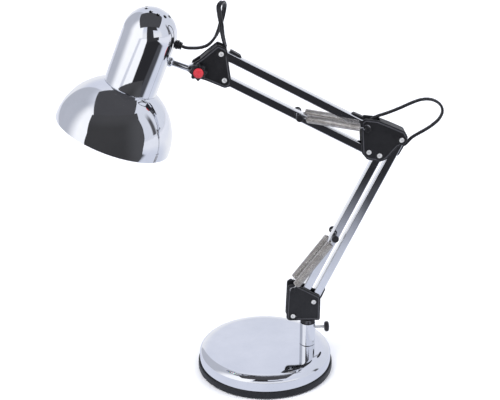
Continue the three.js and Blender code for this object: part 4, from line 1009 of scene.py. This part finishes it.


# lead through the base and the post, baked as one fixed mesh; the real lead twists along the post as the arm swivels
def cad_shape(node):
    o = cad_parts[node]
    return [tuple(o.matrix_world @ v.co / MM) for v in o.data.vertices], [tuple(f.vertices) for f in o.data.polygons]


ob = as_object("lead_in_base", cad_shape("cord_run_base"))
piece(ob, None, ["cord_run_base"], FLEX, deg=60, blend=("base", "swivel_bracket", (POST_X, 0, 22), (POST_X, 0, 72)))

# lead inside the lower right bar, with the short tail between the elbow loop and the bar
P = smooth_path([(159.5, 0, 283.0), (157.2, 0, 280.8), (154.4, 0, 279.4), (151.6, 0, 279.6), (149.6, 0, 281.0)], 0.8)
tail = swept(P, twin(), wide=np.tile((0.0, 1.0, 0.0), (len(P), 1)))
piece(as_object("lead_in_lower_arm", joined(cad_shape("cord_run_lower_arm"), tail)), "lower_right_bar", ["cord_run_lower_arm"], FLEX, deg=50)

# ------------------------------------------------------------------ studio
NEAR, FAR, SIDE = (0.71, 0.745, 0.86), (0.95, 0.96, 1.0), (0.88, 0.90, 0.98)   # table top as the chrome sees it


def stage():
    me = bpy.data.meshes.new("floor")
    me.from_pydata([(-9, -9, 0), (9, -9, 0), (9, 9, 0), (-9, 9, 0)], [], [(0, 1, 2, 3)])
    fl = bpy.data.objects.new("floor", me)
    bpy.context.scene.collection.objects.link(fl)
    fl.location.z = -0.0004
    n = Nodes("floor_pale")
    n.p.inputs["Roughness"].default_value = 0.9
    n.p.inputs["Specular IOR Level"].default_value = 0.0
    n.p.inputs["Base Color"].default_value = (0.93, 0.93, 0.94, 1)
    me.materials.append(n.m)

    def soft2(k, x, a, b):
        m = k.n("ShaderNodeMapRange", _interpolation_type="SMOOTHSTEP")
        m.inputs["From Min"].default_value, m.inputs["From Max"].default_value = a, b
        k.link(x, m.inputs["Value"])
        return m.outputs["Result"]

    def card(name, verts, strength=0.02, colour=(1, 1, 1), faces=None):
        m = bpy.data.meshes.new(name)
        m.from_pydata(verts, [], faces or [tuple(range(len(verts)))])
        o = bpy.data.objects.new(name, m)
        bpy.context.scene.collection.objects.link(o)
        c = Nodes(name)
        e = c.n("ShaderNodeEmission", Strength=strength)
        e.inputs["Color"].default_value = (*colour, 1)
        c.link(e.outputs[0], c.out.inputs[0])
        m.materials.append(c.m)
        o.visible_camera = False
        o.visible_diffuse = False
        o.visible_shadow = False
        return o

    # table top and the dark room floor in front of it, seen only in reflections. The colour follows the place on the
    # card in metres: pale near the lamp, fading to dark in front between a left and a right boundary.
    o = card("flag_floor", [(-3, -6, 0.0006), (3, -6, 0.0006), (3, 6, 0.0006), (-3, 6, 0.0006)])
    c = Nodes("flag_floor_fade")
    sp = c.n("ShaderNodeSeparateXYZ")
    c.link(c.c.outputs["Object"], sp.inputs[0])
    fx, fy = sp.outputs[0], sp.outputs[1]

    def op(kind, a, b):
        m = c.n("ShaderNodeMath", _operation=kind)
        for i, x in enumerate((a, b)):
            if isinstance(x, (int, float)):
                m.inputs[i].default_value = x
            else:
                c.link(x, m.inputs[i])
        return m.outputs[0]

    soft = lambda x, a, b: soft2(c, x, a, b)
    left = c.ranged(fy, -0.85, -0.50, -0.40, -0.66)
    right = op("ADD", c.ranged(fy, -0.8, -0.30, 0.58, 0.40), c.ranged(fy, -1.4, -0.8, 0.18, 0.0))
    inside = op("MULTIPLY", soft(op("SUBTRACT", fx, left), -0.05, 0.05), soft(op("SUBTRACT", right, fx), -0.05, 0.05))
    front = op("SUBTRACT", 1.0, soft(fy, -0.60, -0.20))
    front = op("MAXIMUM", front, op("MULTIPLY", op("MULTIPLY", soft(fx, 0.13, 0.20), 0.93), op("SUBTRACT", 1.0, soft(fy, -0.34, -0.22))))
    e = c.n("ShaderNodeEmission", Strength=1.0)
    table = c.mixed(soft(fy, 0.12, 0.5), NEAR, FAR)
    table = c.mixed(soft(op("ABSOLUTE", fx, 0.0), 0.35, 0.9), table, SIDE)
    table = c.mixed(op("MULTIPLY", soft(fx, -0.22, -0.40), op("SUBTRACT", 1.0, soft(fy, -0.35, 0.0))), table, (1.1, 1.11, 1.15))
    c.link(c.mixed(op("MULTIPLY", inside, front), table, (0.028, 0.028, 0.032)), e.inputs["Color"])
    c.link(e.outputs[0], c.out.inputs[0])
    o.data.materials.clear()
    o.data.materials.append(c.m)
    # unlit room behind the camera and dark flag overhead, also only in reflections
    for i, (x0, x1, z0, z1) in enumerate(((-0.21, 0.01, 0.30, 0.87), (0.01, 0.22, 0.30, 0.42), (0.01, 0.22, 0.68, 0.87))):
        card(f"flag_front_{i}", [(x0, -0.45, z0), (x1, -0.45, z0), (x1, -0.45, z1), (x0, -0.45, z1)], 0.04, (1, 1, 1.1))
    card("flag_overhead", [(-0.62, -0.50, 0.90), (0.44, -0.50, 0.90), (0.44, 0.30, 1.10), (-0.42, 0.30, 1.10)], 0.075, (1, 1, 1.1))
    # curved dark card round the front of the reflector, 24 mm off its surface, paler towards its top: a painted
    # reflection, seen only in reflections, that lays a fixed dark pattern on the bowl
    ring = [(-203.0, -58.0, 360.0), (-210.2, -66.7, 345.2), (-213.7, -73.0, 329.8), (-219.3, -74.4, 313.6),
            (-214.0, -78.0, 290.0), (-190.0, -84.0, 272.0), (-157.1, -82.0, 265.0), (-134.0, -74.0, 266.0), (-118.0, -70.0, 276.0), (-112.9, -69.0, 296.8), (-109.5, -64.4, 314.5), (-112.2, -60.1, 332.4), (-119.2, -56.3, 347.4),
            (-122.0, -49.0, 358.0), (-134.0, -60.0, 360.0), (-154.0, -66.0, 361.0), (-174.0, -66.0, 361.0), (-190.0, -62.5, 361.0)]
    mid = np.array((RIM[0], 0, RIM[1]), float)

    def on(q):
        q = np.array(q, float) - mid
        return tuple((mid + q / np.linalg.norm(q) * 90) * MM)

    hub = np.array((-160.0, -86.0, 315.0))
    verts = [on(q) for q in ring] + [on(hub + (np.array(q) - hub) * 0.66) for q in ring] + [on(hub + (np.array(q) - hub) * 0.33) for q in ring] + [on(hub)]
    n_ = len(ring)
    faces = [(k * n_ + i, k * n_ + (i + 1) % n_, (k + 1) * n_ + (i + 1) % n_, (k + 1) * n_ + i) for k in (0, 1) for i in range(n_)] + [(2 * n_ + i, 2 * n_ + (i + 1) % n_, 3 * n_) for i in range(n_)]
    o = card("reflector_painted_reflection_card", verts, 1.0, faces=faces)
    c = Nodes("flag_reflector_fade")
    sp = c.n("ShaderNodeSeparateXYZ")
    c.link(c.c.outputs["Object"], sp.inputs[0])
    e = c.n("ShaderNodeEmission", Strength=1.0)
    # painted reflection colour of the card: dark, paler towards +x, and a set grey near its top
    shade = c.mixed(soft2(c, sp.outputs[0], -0.150, -0.118), (0.050, 0.050, 0.053), (0.085, 0.086, 0.092))
    c.link(c.mixed(soft2(c, sp.outputs[2], 0.338, 0.356), shade, (0.070, 0.070, 0.075)), e.inputs["Color"])
    c.link(e.outputs[0], c.out.inputs[0])
    o.data.materials.clear()
    o.data.materials.append(c.m)

    def light(name, loc, size, energy, colour=(1, 1, 1)):
        d = bpy.data.lights.new(name, "AREA")
        d.shape, d.size, d.energy, d.color = "DISK", size, energy, colour
        o = bpy.data.objects.new(name, d)
        bpy.context.scene.collection.objects.link(o)
        o.location = loc
        o.rotation_mode = "QUATERNION"
        o.rotation_quaternion = (Vector((0, 0, 0.2)) - Vector(loc)).to_track_quat("-Z", "Y")
        o.visible_glossy = False
        return o

    light("soft_key", (-1.2, -1.0, 2.2), 1.6, 32)
    light("soft_fill", (1.6, -0.4, 1.8), 1.6, 16)
    light("soft_back", (0.2, 1.8, 1.6), 1.4, 14)

    w = bpy.data.worlds.new("studio")
    bpy.context.scene.world = w
    w.use_nodes = True
    t = w.node_tree
    t.nodes.clear()
    N_ = lambda kind: t.nodes.new(kind)
    L_ = lambda a, b: t.links.new(a, b)
    tc = N_("ShaderNodeTexCoord")
    sep = N_("ShaderNodeSeparateXYZ")
    L_(tc.outputs["Generated"], sep.inputs[0])

    def math_(op, a, b=None, c=None):
        m = N_("ShaderNodeMath")
        m.operation = op
        for i, x in enumerate((a, b, c)):
            if x is None:
                continue
            if isinstance(x, (int, float)):
                m.inputs[i].default_value = x
            else:
                L_(x, m.inputs[i])
        return m.outputs[0]

    deg = 180 / pi
    az = math_("MULTIPLY", math_("ARCTAN2", sep.outputs[0], math_("MULTIPLY", sep.outputs[1], -1.0)), deg)
    el = math_("MULTIPLY", math_("ARCSINE", sep.outputs[2]), deg)

    def ramp(x, a, b):
        m = N_("ShaderNodeMapRange")
        m.interpolation_type = "SMOOTHSTEP"
        m.inputs["From Min"].default_value, m.inputs["From Max"].default_value = a, b
        L_(x, m.inputs["Value"])
        return m.outputs["Result"]

    def window(x, a, b, soft0, soft1):
        return math_("MULTIPLY", ramp(x, a - soft0, a + soft0), math_("SUBTRACT", 1.0, ramp(x, b - soft1, b + soft1)))

    def patch(a0, a1, e0_, e1_, sa=(4, 4), se=(6, 6)):
        return math_("MULTIPLY", window(az, a0, a1, *sa), window(el, e0_, e1_, *se))

    def layer(under, fac, colour):
        m = N_("ShaderNodeMix")
        m.data_type = "RGBA"
        L_(fac, m.inputs[0])
        if isinstance(under, tuple):
            m.inputs[6].default_value = (*under, 1)
        else:
            L_(under, m.inputs[6])
        m.inputs[7].default_value = (*colour, 1)
        return m.outputs[2]

    col = layer((0.92, 0.93, 0.97), ramp(el, 8, 34), (0.74, 0.77, 0.88))      # white backdrop low down, pale lavender higher up
    col = layer(col, ramp(el, 45, 85), (0.86, 0.88, 0.96))
    col = layer(col, patch(-152, -60, -60, 62, (1.5, 6), (10, 14)), (0.52, 0.54, 0.61))    # grey wall on the left
    col = layer(col, patch(-84, -29, -60, 62, (16, 4), (10, 14)), (1.12, 1.13, 1.17))    # soft box in front of it
    col = layer(col, patch(52, 150, -60, 50, (6, 16), (10, 16)), (0.74, 0.77, 0.86))    # right side
    col = layer(col, patch(86, 95, -50, 26, (2.0, 2.5), (8, 8)), (0.10, 0.10, 0.11))   # stand on the right
    bg = N_("ShaderNodeBackground")
    L_(col, bg.inputs[0])
    bg.inputs[1].default_value = 1.0
    white = N_("ShaderNodeBackground")
    white.inputs[0].default_value = (1, 1, 1, 1)
    white.inputs[1].default_value = 1.0
    lp = N_("ShaderNodeLightPath")
    mx = N_("ShaderNodeMixShader")
    L_(lp.outputs["Is Camera Ray"], mx.inputs[0])
    L_(bg.outputs[0], mx.inputs[1])
    L_(white.outputs[0], mx.inputs[2])
    out = N_("ShaderNodeOutputWorld")
    L_(mx.outputs[0], out.inputs[0])
    vs = bpy.context.scene.view_settings
    vs.view_transform = "Standard"
    vs.look = "None"
    vs.exposure, vs.gamma = 0.0, 1.0


stage()
